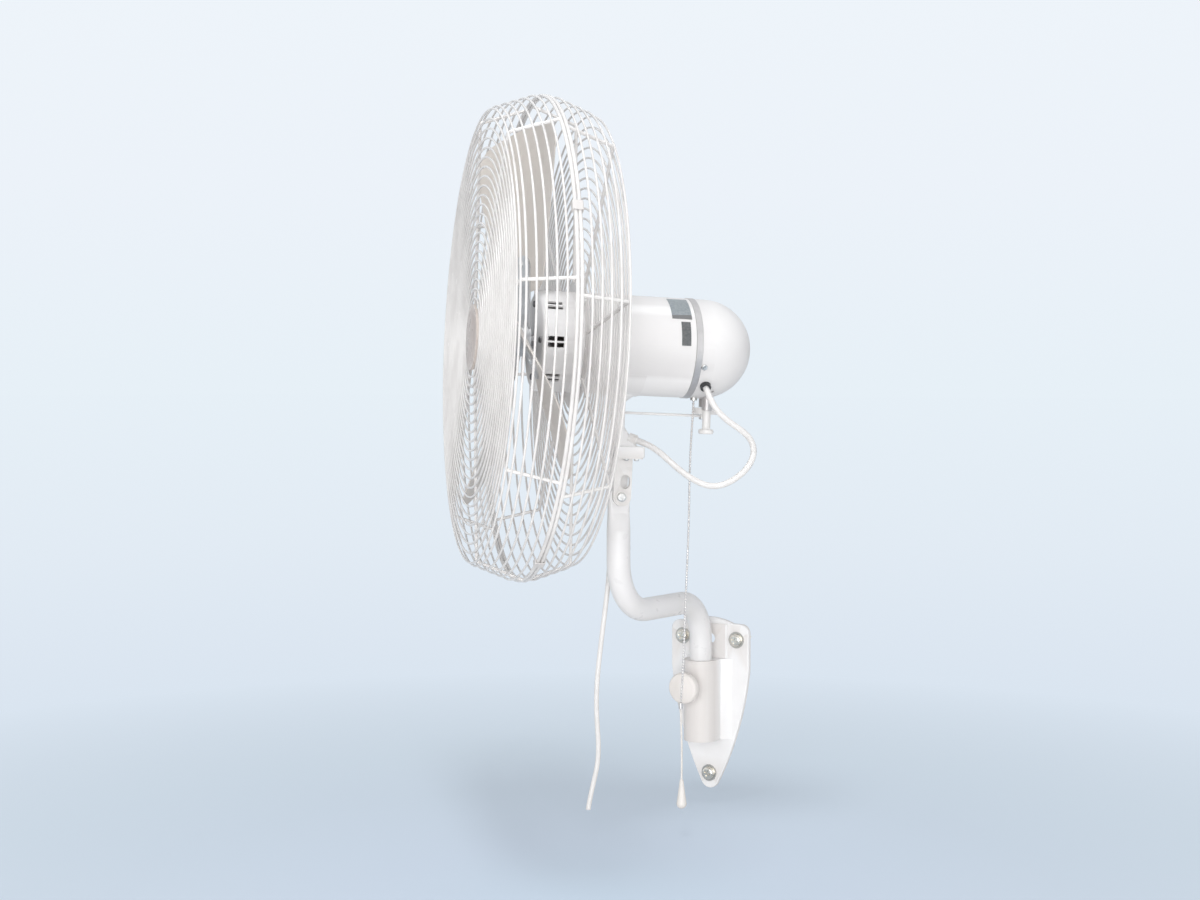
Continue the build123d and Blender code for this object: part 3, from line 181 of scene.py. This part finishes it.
# Clamp knob. A moulded white knob on a steel stud at the near side of the
# socket. It presses on the arm, so that the arm stays at the angle it is given.
def moulded(name, tone, shade, rough):
    """Moulded plastic, a little uneven, with a fine grain."""
    material, tree, shader = new_finish(name)
    flow = tones(tree, grain(tree, 30, stretch=(1, 1, 0.4)), (0.36, shade), (0.60, tone))
    rubbed = laid_over(tree, edges(tree, 0.53, 0.62), flow, tone)
    tree.links.new(rubbed, shader.inputs["Base Color"])
    tree.links.new(between(tree, grain(tree, 140), rough, rough + 0.14), shader.inputs["Roughness"])
    relief(tree, shader, grain(tree, 1400, 2.0), 0.14, 0.00015)
    return material


knob_plastic = moulded("knob_plastic", (0.80, 0.765, 0.735), (0.74, 0.70, 0.665), 0.34)
finish(knob_plastic, "clamp_knob")


# Arm. One length of steel tube, bent twice and pressed flat at its upper end
# for the tilt bolt. The coat is glossy, with faint runs along the tube.
arm_coat = powder_coat(
    "arm_coat", tone=(0.805, 0.80, 0.805), shade=(0.78, 0.775, 0.775), thin=(0.76, 0.75, 0.74),
    peel=560, gloss=(0.26, 0.40), worn=(0.64, 0.80))
finish(arm_coat, "arm_pipe")


# Tilt clevis and neck. The clevis is a pressing whose ears hold the arm's flat
# end. The neck is a casting that carries the head's pin. Both are white.
yoke_coat = powder_coat(
    "yoke_coat", tone=(0.90, 0.898, 0.90), shade=(0.86, 0.856, 0.855), thin=(0.75, 0.73, 0.71),
    peel=520, gloss=(0.26, 0.42), depth=0.0004)
finish(yoke_coat, "clevis", "neck_casting")


# Bolts of the tilt joint and the neck. Zinc-plated steel, with two small screws
# up through the clevis. The tilt bolt's washers are coated white like the ears.
joint_zinc = turned_metal("joint_zinc", (0.80, 0.80, 0.79), (0.42, 0.41, 0.39), 0.22)
finish(joint_zinc, "clevis_screws", "link_anchor_screw")
bright_zinc = turned_metal("bright_zinc", (0.86, 0.845, 0.82), (0.66, 0.64, 0.61), 0.36)
finish(bright_zinc, "tilt_bolt", "tilt_nut")
finish(yoke_coat, "tilt_washers")


# Thrust washer. A natural nylon ring between the neck and the motor's foot,
# which lets the head turn without wear.
thrust_nylon = moulded("thrust_nylon", (0.78, 0.77, 0.72), (0.70, 0.69, 0.63), 0.5)
finish(thrust_nylon, "thrust_washer")


# Entry bush and cord gland. Soft white rubber rings, pressed into the neck and
# the far ear of the clevis, where the two cords go in.
def soft_rubber(name, tone, shade, rough=0.5):
    """Soft rubber or cord covering, dull, with a fine pitted skin."""
    material, tree, shader = new_finish(name)
    body = tones(tree, grain(tree, 60, 4.0), (0.34, shade), (0.62, tone))
    scuffs = between(tree, grain(tree, 500, 2.0, stretch=(1, 1, 0.3)), 0, 0.20, 0.62, 0.74)
    tree.links.new(laid_over(tree, scuffs, body, shade), shader.inputs["Base Color"])
    tree.links.new(between(tree, grain(tree, 200), rough, rough + 0.07), shader.inputs["Roughness"])
    relief(tree, shader, grain(tree, 1800, 2.0), 0.08, 0.00004)
    shader.inputs["Specular IOR Level"].default_value = 0.42
    return material


bush_rubber = soft_rubber("bush_rubber", (0.86, 0.85, 0.84), (0.81, 0.80, 0.785))
finish(bush_rubber, "entry_bush", "cord_gland")


# Swing pin. A hardened steel pin under the motor, dark with oil, that turns in
# the neck.
oiled_steel = turned_metal(
    "oiled_steel", (0.36, 0.36, 0.37), (0.16, 0.155, 0.15), 0.26, lines=1200)
finish(oiled_steel, "kingpin")


# Motor shell. A rolled steel housing and a slotted front cover in smooth white.
# The deep-drawn dome at the rear has the same white, painted greyer as shade.
shell_coat = powder_coat(
    "shell_coat", tone=(0.90, 0.898, 0.902), shade=(0.87, 0.867, 0.87), thin=(0.76, 0.75, 0.75),
    peel=760, gloss=(0.36, 0.48), depth=0.0002)
finish(shell_coat, "motor_housing", "front_endbell")
# The dome's tone is the housing's white painted darker, as shade, since the lamps light the dome
# more.
dome_coat_painted_shade = powder_coat(
    "dome_coat_painted_shade", tone=(0.79, 0.785, 0.787), shade=(0.765, 0.76, 0.761), thin=(0.72, 0.71, 0.71),
    peel=760, gloss=(0.36, 0.48), depth=0.0002)
finish(dome_coat_painted_shade, "rear_dome")


# Rear end shield. Die-cast aluminium. Only its machined edge shows, as a
# satin band between the housing and the dome. The gear case is the same metal.
def bare_casting(name, tone, dark, rough, stretch=(1, 1, 1)):
    """Bare aluminium, brushed or cast, with dull patches."""
    material, tree, shader = new_finish(name)
    bloom = tones(tree, grain(tree, 45, 4.0), (0.35, dark), (0.62, tone))
    lines = between(tree, grain(tree, 700, 3.0, stretch=stretch), 0, 0.4, 0.45, 0.7)
    streaked = laid_over(tree, lines, bloom, dark)
    tree.links.new(laid_over(tree, edges(tree, 0.53, 0.62), streaked, tone),
                   shader.inputs["Base Color"])
    shader.inputs["Metallic"].default_value = 0.85
    tree.links.new(between(tree, grain(tree, 300), rough, rough + 0.16), shader.inputs["Roughness"])
    relief(tree, shader, grain(tree, 1100, 3.0, stretch=stretch), 0.2, 0.0002)
    return material


band_metal = bare_casting("band_metal", (0.60, 0.575, 0.565), (0.50, 0.475, 0.465), 0.38)
finish(band_metal, "rear_endshield", "gear_case")


# Endbell bolts and dome screws. Blackened pan heads at the motor's front, and
# two small plated screws that hold the dome.
bolt_black = turned_metal("bolt_black", (0.22, 0.22, 0.23), (0.10, 0.10, 0.10), 0.32)
finish(bolt_black, "endbell_bolts")
finish(joint_zinc, "dome_screws")


# Stator. Stamped steel sheets, stacked and welded, with enamelled copper coils
# that are laced at both ends.
def sheet_stack(name, tone, dark, pitch):
    """Edges of stacked sheets, one line to each sheet along the motor."""
    material, tree, shader = new_finish(name)
    place = add(tree, "ShaderNodeTexCoord")
    turn = add(tree, "ShaderNodeMapping", {"Rotation": (0, 0, radians(43.65))})
    wave = add(tree, "ShaderNodeTexWave", {"Scale": pitch, "Distortion": 0.6, "Detail": 2.0},
               bands_direction="Y")
    tree.links.new(place.outputs["Object"], turn.inputs["Vector"])
    tree.links.new(turn.outputs["Vector"], wave.inputs["Vector"])
    tree.links.new(tones(tree, wave.outputs["Fac"], (0.2, dark), (0.7, tone)),
                   shader.inputs["Base Color"])
    shader.inputs["Metallic"].default_value = 0.9
    tree.links.new(between(tree, grain(tree, 240), 0.35, 0.55), shader.inputs["Roughness"])
    relief(tree, shader, wave.outputs["Fac"], 0.5, 0.0002)
    return material


finish(sheet_stack("stator_sheets", (0.34, 0.34, 0.35), (0.14, 0.14, 0.14), 250), "stator_core")
coil_copper = sheet_stack("coil_copper", (0.56, 0.24, 0.10), (0.26, 0.09, 0.03), 180)
finish(coil_copper, "stator_windings")


# Bearings and rotor. Ball bearings with ground rings, the turned shaft, and a
# rotor of steel sheets with cast end rings.
bearing_steel = turned_metal("bearing_steel", (0.55, 0.55, 0.56), (0.30, 0.30, 0.31), 0.14)
finish(bearing_steel, "front_bearing", "rear_bearing", "rotor_shaft")
finish(sheet_stack("rotor_sheets", (0.40, 0.40, 0.41), (0.18, 0.18, 0.18), 250), "rotor_core")


# Run capacitor. A small black box moulded around its film winding, held in the
# dome above the gear case.
case_plastic = moulded("case_plastic", (0.035, 0.035, 0.038), (0.022, 0.022, 0.024), 0.42)
finish(case_plastic, "run_capacitor")


# Pull switch. A plated steel can under the dome, with a threaded neck that the
# bead chain comes out of.
switch_metal = turned_metal("switch_metal", (0.62, 0.61, 0.58), (0.36, 0.35, 0.33), 0.24)
finish(switch_metal, "pull_switch")


# Rating plates. Two bare foil plates on the near side of the housing, the
# upper one pale grey and the lower one dark grey. Nothing is printed on them.
foil, tree, shader = new_finish("plate_foil")
place = add(tree, "ShaderNodeTexCoord")
parts = add(tree, "ShaderNodeSeparateXYZ")
tree.links.new(place.outputs["Object"], parts.inputs["Vector"])
upper = between(tree, parts.outputs["Z"], 0, 1, 0.5780, 0.5790)
lower_strip = between(tree, parts.outputs["Z"], 1, 0, 0.5860, 0.5866)
pale = tones(tree, grain(tree, 300, 3.0),
             (0.35, (0.27, 0.30, 0.315)), (0.65, (0.33, 0.36, 0.375)))
grey = laid_over(tree, lower_strip, pale, (0.20, 0.20, 0.20))
dark = tones(tree, grain(tree, 300, 3.0),
             (0.35, (0.115, 0.118, 0.12)), (0.65, (0.16, 0.163, 0.165)))
tree.links.new(laid_over(tree, upper, dark, grey), shader.inputs["Base Color"])
shader.inputs["Metallic"].default_value = 0.35
tree.links.new(between(tree, grain(tree, 120), 0.30, 0.42), shader.inputs["Roughness"])
relief(tree, shader, grain(tree, 900, 2.0), 0.15, 0.00015)
finish(foil, "label_plates")


# Cord grommet. A black rubber ring, snapped into the dome around the service
# cord.
grommet_rubber = soft_rubber("grommet_rubber", (0.075, 0.076, 0.08), (0.04, 0.04, 0.042), 0.42)
finish(grommet_rubber, "cord_grommet")


# Oscillator crank and link. A white die-cast crank disc on the gearbox, and a
# white-coated rod from its pin to the lug on the neck, held by small screws.
crank_coat = powder_coat(
    "crank_coat", tone=(0.89, 0.885, 0.88), shade=(0.84, 0.83, 0.825), thin=(0.78, 0.77, 0.76),
    peel=700, gloss=(0.28, 0.42))
finish(crank_coat, "crank", "link_rod")
finish(oiled_steel, "crank_gear")
finish(joint_zinc, "crank_screw")


# Oscillator knob. A white moulded knob on a stem under the dome. It is pushed
# up to stop the head's swing, and pulled down to start it.
swing_knob = moulded("swing_knob", (0.84, 0.835, 0.825), (0.78, 0.77, 0.76), 0.28)
finish(swing_knob, "oscillator_knob")


# Hub and blades. Three pressed blades with a thick satin enamel, riveted to
# the arms of a die-cast hub that a screw holds on the shaft.
blade_coat = powder_coat(
    "blade_coat", tone=(0.80, 0.765, 0.73), shade=(0.73, 0.69, 0.655), thin=(0.62, 0.58, 0.54),
    peel=420, gloss=(0.36, 0.50))
finish(blade_coat, "fan_blade_1", "fan_blade_2", "fan_blade_3")
hub_metal = bare_casting("hub_metal", (0.62, 0.625, 0.63), (0.42, 0.42, 0.425), 0.34)
finish(hub_metal, "fan_hub")
finish(joint_zinc, "blade_rivets", "hub_screw")


# Guards. Spot-welded steel wire in two baskets, dipped and powder coated, so
# that the coat is thick and glossy, with small runs at the welds.
wire_coat = powder_coat(
    "wire_coat", tone=(0.76, 0.748, 0.738), shade=(0.68, 0.665, 0.655), thin=(0.64, 0.62, 0.61),
    peel=800, gloss=(0.16, 0.28), depth=0.0004)
finish(wire_coat, "front_guard", "rear_guard", "guard_clips")
finish(joint_zinc, "guard_bolts")


# Centre badge. A plain domed disc of coated aluminium at the middle of the
# front guard. It carries no mark.
badge_coat = powder_coat(
    "badge_coat", tone=(0.47, 0.395, 0.355), shade=(0.42, 0.35, 0.31), thin=(0.60, 0.54, 0.50),
    peel=900, gloss=(0.24, 0.36))
finish(badge_coat, "badge")


# Service cord. A white flexible cord that leaves the dome through its grommet,
# hangs in one loop and goes into the neck. It gives as the head swings.
head_place = (
    Matrix.Translation((0, -0.2674, 0.335))
    @ Matrix.Rotation(radians(-43.65), 4, "Z")
    @ Matrix.Rotation(radians(-2.6), 4, "X"))


def smooth_line(name, points):
    """A NURBS line led by its points."""
    curve = bpy.data.curves.new(name, "CURVE")
    curve.dimensions = "3D"
    curve.resolution_u = 12
    spline = curve.splines.new("NURBS")
    spline.points.add(len(points) - 1)
    for knot, point in zip(spline.points, points):
        knot.co = (*point, 1)
    spline.order_u = 3
    spline.use_endpoint_u = True
    return curve


def points_on(curve):
    """The points of a line that has no thickness yet."""
    line = bpy.data.objects.new("line", curve)
    bpy.context.collection.objects.link(line)
    mesh = bpy.data.meshes.new_from_object(line)
    points = [vertex.co.copy() for vertex in mesh.vertices]
    bpy.data.meshes.remove(mesh)
    bpy.data.objects.remove(line)
    return points


cord_roundness = 5


def covered(curve, radius):
    """A round cover along a line, as a mesh."""
    curve.bevel_depth = radius
    curve.bevel_resolution = cord_roundness
    curve.use_fill_caps = True
    tube = bpy.data.objects.new("tube", curve)
    bpy.context.collection.objects.link(tube)
    mesh = bpy.data.meshes.new_from_object(tube)
    bpy.data.objects.remove(tube)
    return mesh


def placed(name, data, material, body):
    """A new piece with its finish, riding on its body."""
    piece = bpy.data.objects.new(name, data)
    bpy.context.collection.objects.link(piece)
    data.materials.append(material)
    if body:
        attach(piece, body)
    return piece


service_points = [head_place @ Vector(point) for point in (
    (0.0489, 0.1045, 0.1575), (0.0615, 0.1065, 0.1442), (0.0670, 0.1155, 0.1270),
    (0.0685, 0.1325, 0.1120), (0.0685, 0.1530, 0.1005), (0.0665, 0.1695, 0.0870),
    (0.0635, 0.1750, 0.0675), (0.0595, 0.1675, 0.0480), (0.0545, 0.1530, 0.0330),
    (0.0495, 0.1345, 0.0220), (0.0455, 0.1150, 0.0205), (0.0410, 0.0955, 0.0285),
    (0.0360, 0.0770, 0.0405), (0.0305, 0.0610, 0.0545), (0.0245, 0.0460, 0.0670),
    (0.0189, 0.0324, 0.0752), (0.0120, 0.0164, 0.0802))]
service_curve = smooth_line("service_line", service_points)
service_path = points_on(service_curve)
service_radius = 0.0043
service_mesh = covered(service_curve, service_radius)
cord_cover = soft_rubber("cord_cover", (0.775, 0.765, 0.755), (0.74, 0.727, 0.716), 0.40)
service = placed("service_cord_cover", service_mesh, cord_cover, None)
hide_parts("service_cord")
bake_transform(service)


# Supply cord. A white round flex that leaves the far ear of the clevis through
# its gland and hangs beside the arm. It gives as the head tilts, and its end
# is left bare.
supply_points = [head_place @ Vector(point) for point in (
    (-0.0125, 0.0048, 0.0213), (-0.0260, 0.0047, 0.0213), (-0.0377, 0.0044, 0.0145),
    (-0.0444, 0.0039, 0.0029), (-0.0450, 0.0032, -0.0170), (-0.0415, 0.0022, -0.0460),
    (-0.0376, 0.0010, -0.0820), (-0.0364, 0.0000, -0.1250), (-0.0360, -0.0032, -0.1645),
    (-0.0362, -0.0070, -0.2120), (-0.0360, -0.0098, -0.2520), (-0.0362, -0.0104, -0.2900),
    (-0.0360, -0.0076, -0.3250), (-0.0361, -0.0036, -0.3580), (-0.0360, -0.0040, -0.3850),
    (-0.0362, -0.0090, -0.4120), (-0.0361, -0.0126, -0.4310), (-0.0360, -0.0150, -0.4490))]
supply_curve = smooth_line("supply_line", supply_points)
supply_path = points_on(supply_curve)
supply_radius = 0.0035
supply = placed("supply_cord_cover", covered(supply_curve, supply_radius), cord_cover, None)
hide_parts("supply_cord")
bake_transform(supply)


# Strain relief of the supply cord. A ribbed rubber sleeve, thick at the gland
# and thin at its end, so that the cord bends over a longer way.
def ring_around(mesh, centre, way, radius, sides):
    """One ring of corners around a line."""
    side = way.cross(Vector((0, 0, 1)) if abs(way.z) < 0.8 else Vector((1, 0, 0))).normalized()
    up = side.cross(way).normalized()
    return [mesh.verts.new(centre + radius * (cos(2 * pi * k / sides) * side
                                              + sin(2 * pi * k / sides) * up))
            for k in range(sides)]


def joined_rings(mesh, rings, capped=True):
    """Skin from each ring to the next."""
    for low, high in zip(rings, rings[1:]):
        for k in range(len(low)):
            mesh.faces.new((low[k - 1], low[k], high[k], high[k - 1]))
    if capped:
        mesh.faces.new(list(reversed(rings[0])))
        mesh.faces.new(rings[-1])


def walked(points, step):
    """Places at equal steps along a line, each with the way it goes."""
    places = []
    needed = 0.0
    for here, there in zip(points, points[1:]):
        run = (there - here).length
        while needed <= run:
            places.append((here + (there - here) * (needed / run), (there - here).normalized()))
            needed += step
        needed -= run
    return places


def skinned(name, mesh):
    """A mesh with a smooth skin."""
    bmesh.ops.recalc_face_normals(mesh, faces=mesh.faces)
    data = bpy.data.meshes.new(name)
    mesh.to_mesh(data)
    mesh.free()
    data.shade_smooth()
    return data


relief_length = 0.026
relief_start = 0.0065
relief_step = 0.001
relief_radius = 0.0052
relief_taper = 0.0012
groove_depth = 0.0004
groove_every = 4
sleeve = bmesh.new()
sleeve_rings = []
for count, (centre, way) in enumerate(walked(supply_path, relief_step)):
    along = count * relief_step - relief_start
    if 0 <= along <= relief_length:
        taper = relief_radius - relief_taper * along / relief_length
        groove = groove_depth * (count % groove_every == 0)
        sleeve_rings.append(ring_around(sleeve, centre, way, taper - groove, 20))
joined_rings(sleeve, sleeve_rings)
relief_sleeve = placed("supply_relief", skinned("supply_relief", sleeve), bush_rubber, "yoke")


# Bead chain. Hollow plated beads on short wire links, hung from the pull
# switch. The CAD part holds it as a plain round cord.
chain_points = [Vector(point) for point in (
    (0.0792, -0.1945, 0.4840), (0.0779, -0.1958, 0.4460), (0.0762, -0.1976, 0.4120),
    (0.0750, -0.1992, 0.3640), (0.0744, -0.1994, 0.3100), (0.0732, -0.2008, 0.2540),
    (0.0710, -0.2018, 0.2000), (0.0696, -0.2034, 0.1460), (0.0680, -0.2038, 0.0960),
    (0.0664, -0.2052, 0.0640), (0.0650, -0.2056, 0.0420))]
chain_path = points_on(smooth_line("chain_line", chain_points))
bead_radius = 0.0018
bead_pitch = 0.0040
link_radius = 0.0007
link_step = 0.006
beads = bmesh.new()
for centre, way in walked(chain_path, bead_pitch):
    turn = way.to_track_quat("Z", "Y").to_matrix().to_4x4()
    bmesh.ops.create_uvsphere(beads, u_segments=12, v_segments=8, radius=bead_radius,
                              matrix=Matrix.Translation(centre) @ turn)
rod_rings = [ring_around(beads, centre, way, link_radius, 8)
             for centre, way in walked(chain_path, link_step)]
joined_rings(beads, rod_rings)
bead_plate = turned_metal("bead_plate", (0.80, 0.76, 0.73), (0.56, 0.53, 0.50), 0.32)
bead_string = placed("bead_chain_beads", skinned("bead_chain_beads", beads), bead_plate,
                     "pull_chain")
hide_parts("bead_chain")
finish(bead_plate, "chain_bell")


# Pull string and pull. Three strands of white cotton, twisted together, tied
# into the chain's bell above and into a moulded drop-shaped pull below.
string_points = [Vector(point) for point in (
    (0.0650, -0.2056, 0.0330), (0.0656, -0.2054, 0.0130), (0.0664, -0.2049, -0.0140),
    (0.0665, -0.2048, -0.0440), (0.0663, -0.2049, -0.0680))]
string_path = points_on(smooth_line("string_line", string_points))
strands = bmesh.new()
strand_radius = 0.00078
strand_offset = 0.00072
twist_length = 0.0075
strand_step = 0.0005
for strand in range(3):
    rings = []
    for count, (centre, way) in enumerate(walked(string_path, strand_step)):
        angle = 2 * pi * (count * strand_step / twist_length + strand / 3)
        across = Vector((cos(angle), sin(angle), 0)) * strand_offset
        rings.append(ring_around(strands, centre + across, way, strand_radius, 7))
    joined_rings(strands, rings)
cotton, tree, shader = new_finish("cotton")
fibres = tones(tree, grain(tree, 2600, 4.0, stretch=(1, 1, 0.25)),
               (0.36, (0.66, 0.64, 0.61)), (0.62, (0.84, 0.82, 0.79)))
tree.links.new(fibres, shader.inputs["Base Color"])
tree.links.new(between(tree, grain(tree, 900), 0.75, 0.95), shader.inputs["Roughness"])
shader.inputs["Sheen Weight"].default_value = 0.3
relief(tree, shader, grain(tree, 3000, 3.0, stretch=(1, 1, 0.3)), 0.5, 0.0002)
string = placed("pull_string_strands", skinned("pull_string_strands", strands), cotton,
                "pull_chain")
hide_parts("pull_string")
pull_plastic = moulded("pull_plastic", (0.77, 0.745, 0.715), (0.71, 0.685, 0.655), 0.34)
finish(pull_plastic, "chain_pull")


# Floor. A wide pale blue sheet under the fan, which fades into the backdrop.
# It takes the soft shadow near the fan.
def shown(red, green, blue):
    """A colour as it shows on a screen, from 0 to 255."""
    levels = [value / 255 for value in (red, green, blue)]
    return tuple(v / 12.92 if v <= 0.04045 else ((v + 0.055) / 1.055) ** 2.4 for v in levels)


def seen_rays(tree):
    """1 for rays from the camera, and through or off metal and glass."""
    rays = add(tree, "ShaderNodeLightPath")
    first = add(tree, "ShaderNodeMath", operation="MAXIMUM")
    both = add(tree, "ShaderNodeMath", operation="MAXIMUM")
    tree.links.new(rays.outputs["Is Camera Ray"], first.inputs[0])
    tree.links.new(rays.outputs["Is Glossy Ray"], first.inputs[1])
    tree.links.new(first.outputs[0], both.inputs[0])
    tree.links.new(rays.outputs["Is Transmission Ray"], both.inputs[1])
    return both.outputs[0]


floor_height = -0.150
floor_half = 60.0
front_spot = Vector((0.137, -0.526, floor_height))
floor_mesh = bmesh.new()
bmesh.ops.create_grid(floor_mesh, x_segments=4, y_segments=4, size=floor_half)
floor_data = bpy.data.meshes.new("floor")
floor_mesh.to_mesh(floor_data)
floor_mesh.free()
floor = bpy.data.objects.new("floor", floor_data)
floor.location = front_spot
bpy.context.collection.objects.link(floor)
floor_paint = bpy.data.materials.new("floor_paint")
floor_paint.use_nodes = True
tree = floor_paint.node_tree
tree.nodes.clear()
place = add(tree, "ShaderNodeTexCoord")
reach = add(tree, "ShaderNodeVectorMath", operation="LENGTH")
tree.links.new(place.outputs["Object"], reach.inputs[0])
fade_reach = 2.1
further = add(tree, "ShaderNodeMath", {1: fade_reach}, operation="ADD")
near_share = add(tree, "ShaderNodeMath", {0: fade_reach}, operation="DIVIDE")
tree.links.new(reach.outputs["Value"], further.inputs[0])
tree.links.new(further.outputs[0], near_share.inputs[1])
floor_tone = tones(
    tree, near_share.outputs[0],
    (0.0, shown(231, 240, 247)), (0.30, shown(226, 235, 244)), (0.50, shown(220, 230, 241)),
    (0.70, shown(213, 226, 238)), (0.88, shown(208, 221, 236)), (1.0, shown(204, 220, 235)))
lit = add(tree, "ShaderNodeBsdfDiffuse")
bounce_grey = (0.82, 0.82, 0.82)
lit_tone = laid_over(tree, seen_rays(tree), bounce_grey, floor_tone)
glow = add(tree, "ShaderNodeEmission")
tree.links.new(lit_tone, lit.inputs["Color"])
tree.links.new(floor_tone, glow.inputs["Color"])
glow_share = between(tree, reach.outputs["Value"], 0.34, 1.0, 0.62, 1.7)
share = add(tree, "ShaderNodeMath", operation="MULTIPLY")
tree.links.new(glow_share, share.inputs[0])
tree.links.new(seen_rays(tree), share.inputs[1])
surface = add(tree, "ShaderNodeMixShader")
tree.links.new(share.outputs[0], surface.inputs[0])
tree.links.new(lit.outputs[0], surface.inputs[1])
tree.links.new(glow.outputs[0], surface.inputs[2])
out = add(tree, "ShaderNodeOutputMaterial")
tree.links.new(surface.outputs[0], out.inputs["Surface"])
floor_data.materials.append(floor_paint)


# Backdrop. The pale blue of the world behind the fan, a little lighter with
# height. It also gives soft light from all round, less of it from above.
world = bpy.data.worlds.new("backdrop")
bpy.context.scene.world = world
world.use_nodes = True
tree = world.node_tree
tree.nodes.clear()
place = add(tree, "ShaderNodeTexCoord")
parts = add(tree, "ShaderNodeSeparateXYZ")
tree.links.new(place.outputs["Generated"], parts.inputs["Vector"])
sky_tone = tones(
    tree, between(tree, parts.outputs["Z"], 0, 1, 0.0, 0.22),
    (0.0, shown(231, 240, 247)), (0.5, shown(236, 242, 249)), (1.0, shown(238, 244, 250)))
behind = add(tree, "ShaderNodeBackground")
tree.links.new(sky_tone, behind.inputs["Color"])
around = add(tree, "ShaderNodeBackground", {"Color": (0.985, 0.985, 1.0, 1)})
tree.links.new(between(tree, parts.outputs["Z"], 0.79, 0.45, 0.0, 0.8), around.inputs["Strength"])
either = add(tree, "ShaderNodeMixShader")
tree.links.new(seen_rays(tree), either.inputs[0])
tree.links.new(around.outputs[0], either.inputs[1])
tree.links.new(behind.outputs[0], either.inputs[2])
out = add(tree, "ShaderNodeOutputWorld")
tree.links.new(either.outputs[0], out.inputs["Surface"])


# Lamps. A wide soft box behind the camera, one above and before the fan for the
# shadow under it, and a weak one near the floor for the undersides.
def soft_box(name, place, aim, width, height, power, colour=(1, 1, 1)):
    """A flat lamp that faces a point."""
    light = bpy.data.lights.new(name, "AREA")
    light.shape = "RECTANGLE"
    light.size = width
    light.size_y = height
    light.energy = power
    light.color = colour
    lamp = bpy.data.objects.new(name, light)
    lamp.location = place
    lamp.rotation_euler = (Vector(aim) - Vector(place)).to_track_quat("-Z", "Y").to_euler()
    bpy.context.collection.objects.link(lamp)


soft_box("front_lamp", (1.62, -3.40, 0.62), (0, -0.2, 0.3), 3.2, 2.2, 82)
soft_box("top_lamp", (0.22, -1.00, 2.4), (0, -0.3, 0.0), 0.5, 0.5, 17)
soft_box("low_lamp", (0.95, -2.1, -0.05), (0.1, -0.3, 0.35), 1.6, 0.5, 7, (1, 0.995, 0.99))


# Camera. It stands a little above the bracket, to the near side of the fan,
# and looks slightly down at it.
eye = bpy.data.cameras.new("camera")
eye.sensor_width = 36.0
eye.lens = 51.49
eye.clip_end = 200.0
camera = bpy.data.objects.new("camera", eye)
camera.location = (1.27865, -2.28844, 0.4967)
camera.rotation_euler = (radians(87.68), 0, radians(32.94))
bpy.context.collection.objects.link(camera)
bpy.context.scene.camera = camera
bpy.context.scene.view_settings.view_transform = "Standard"
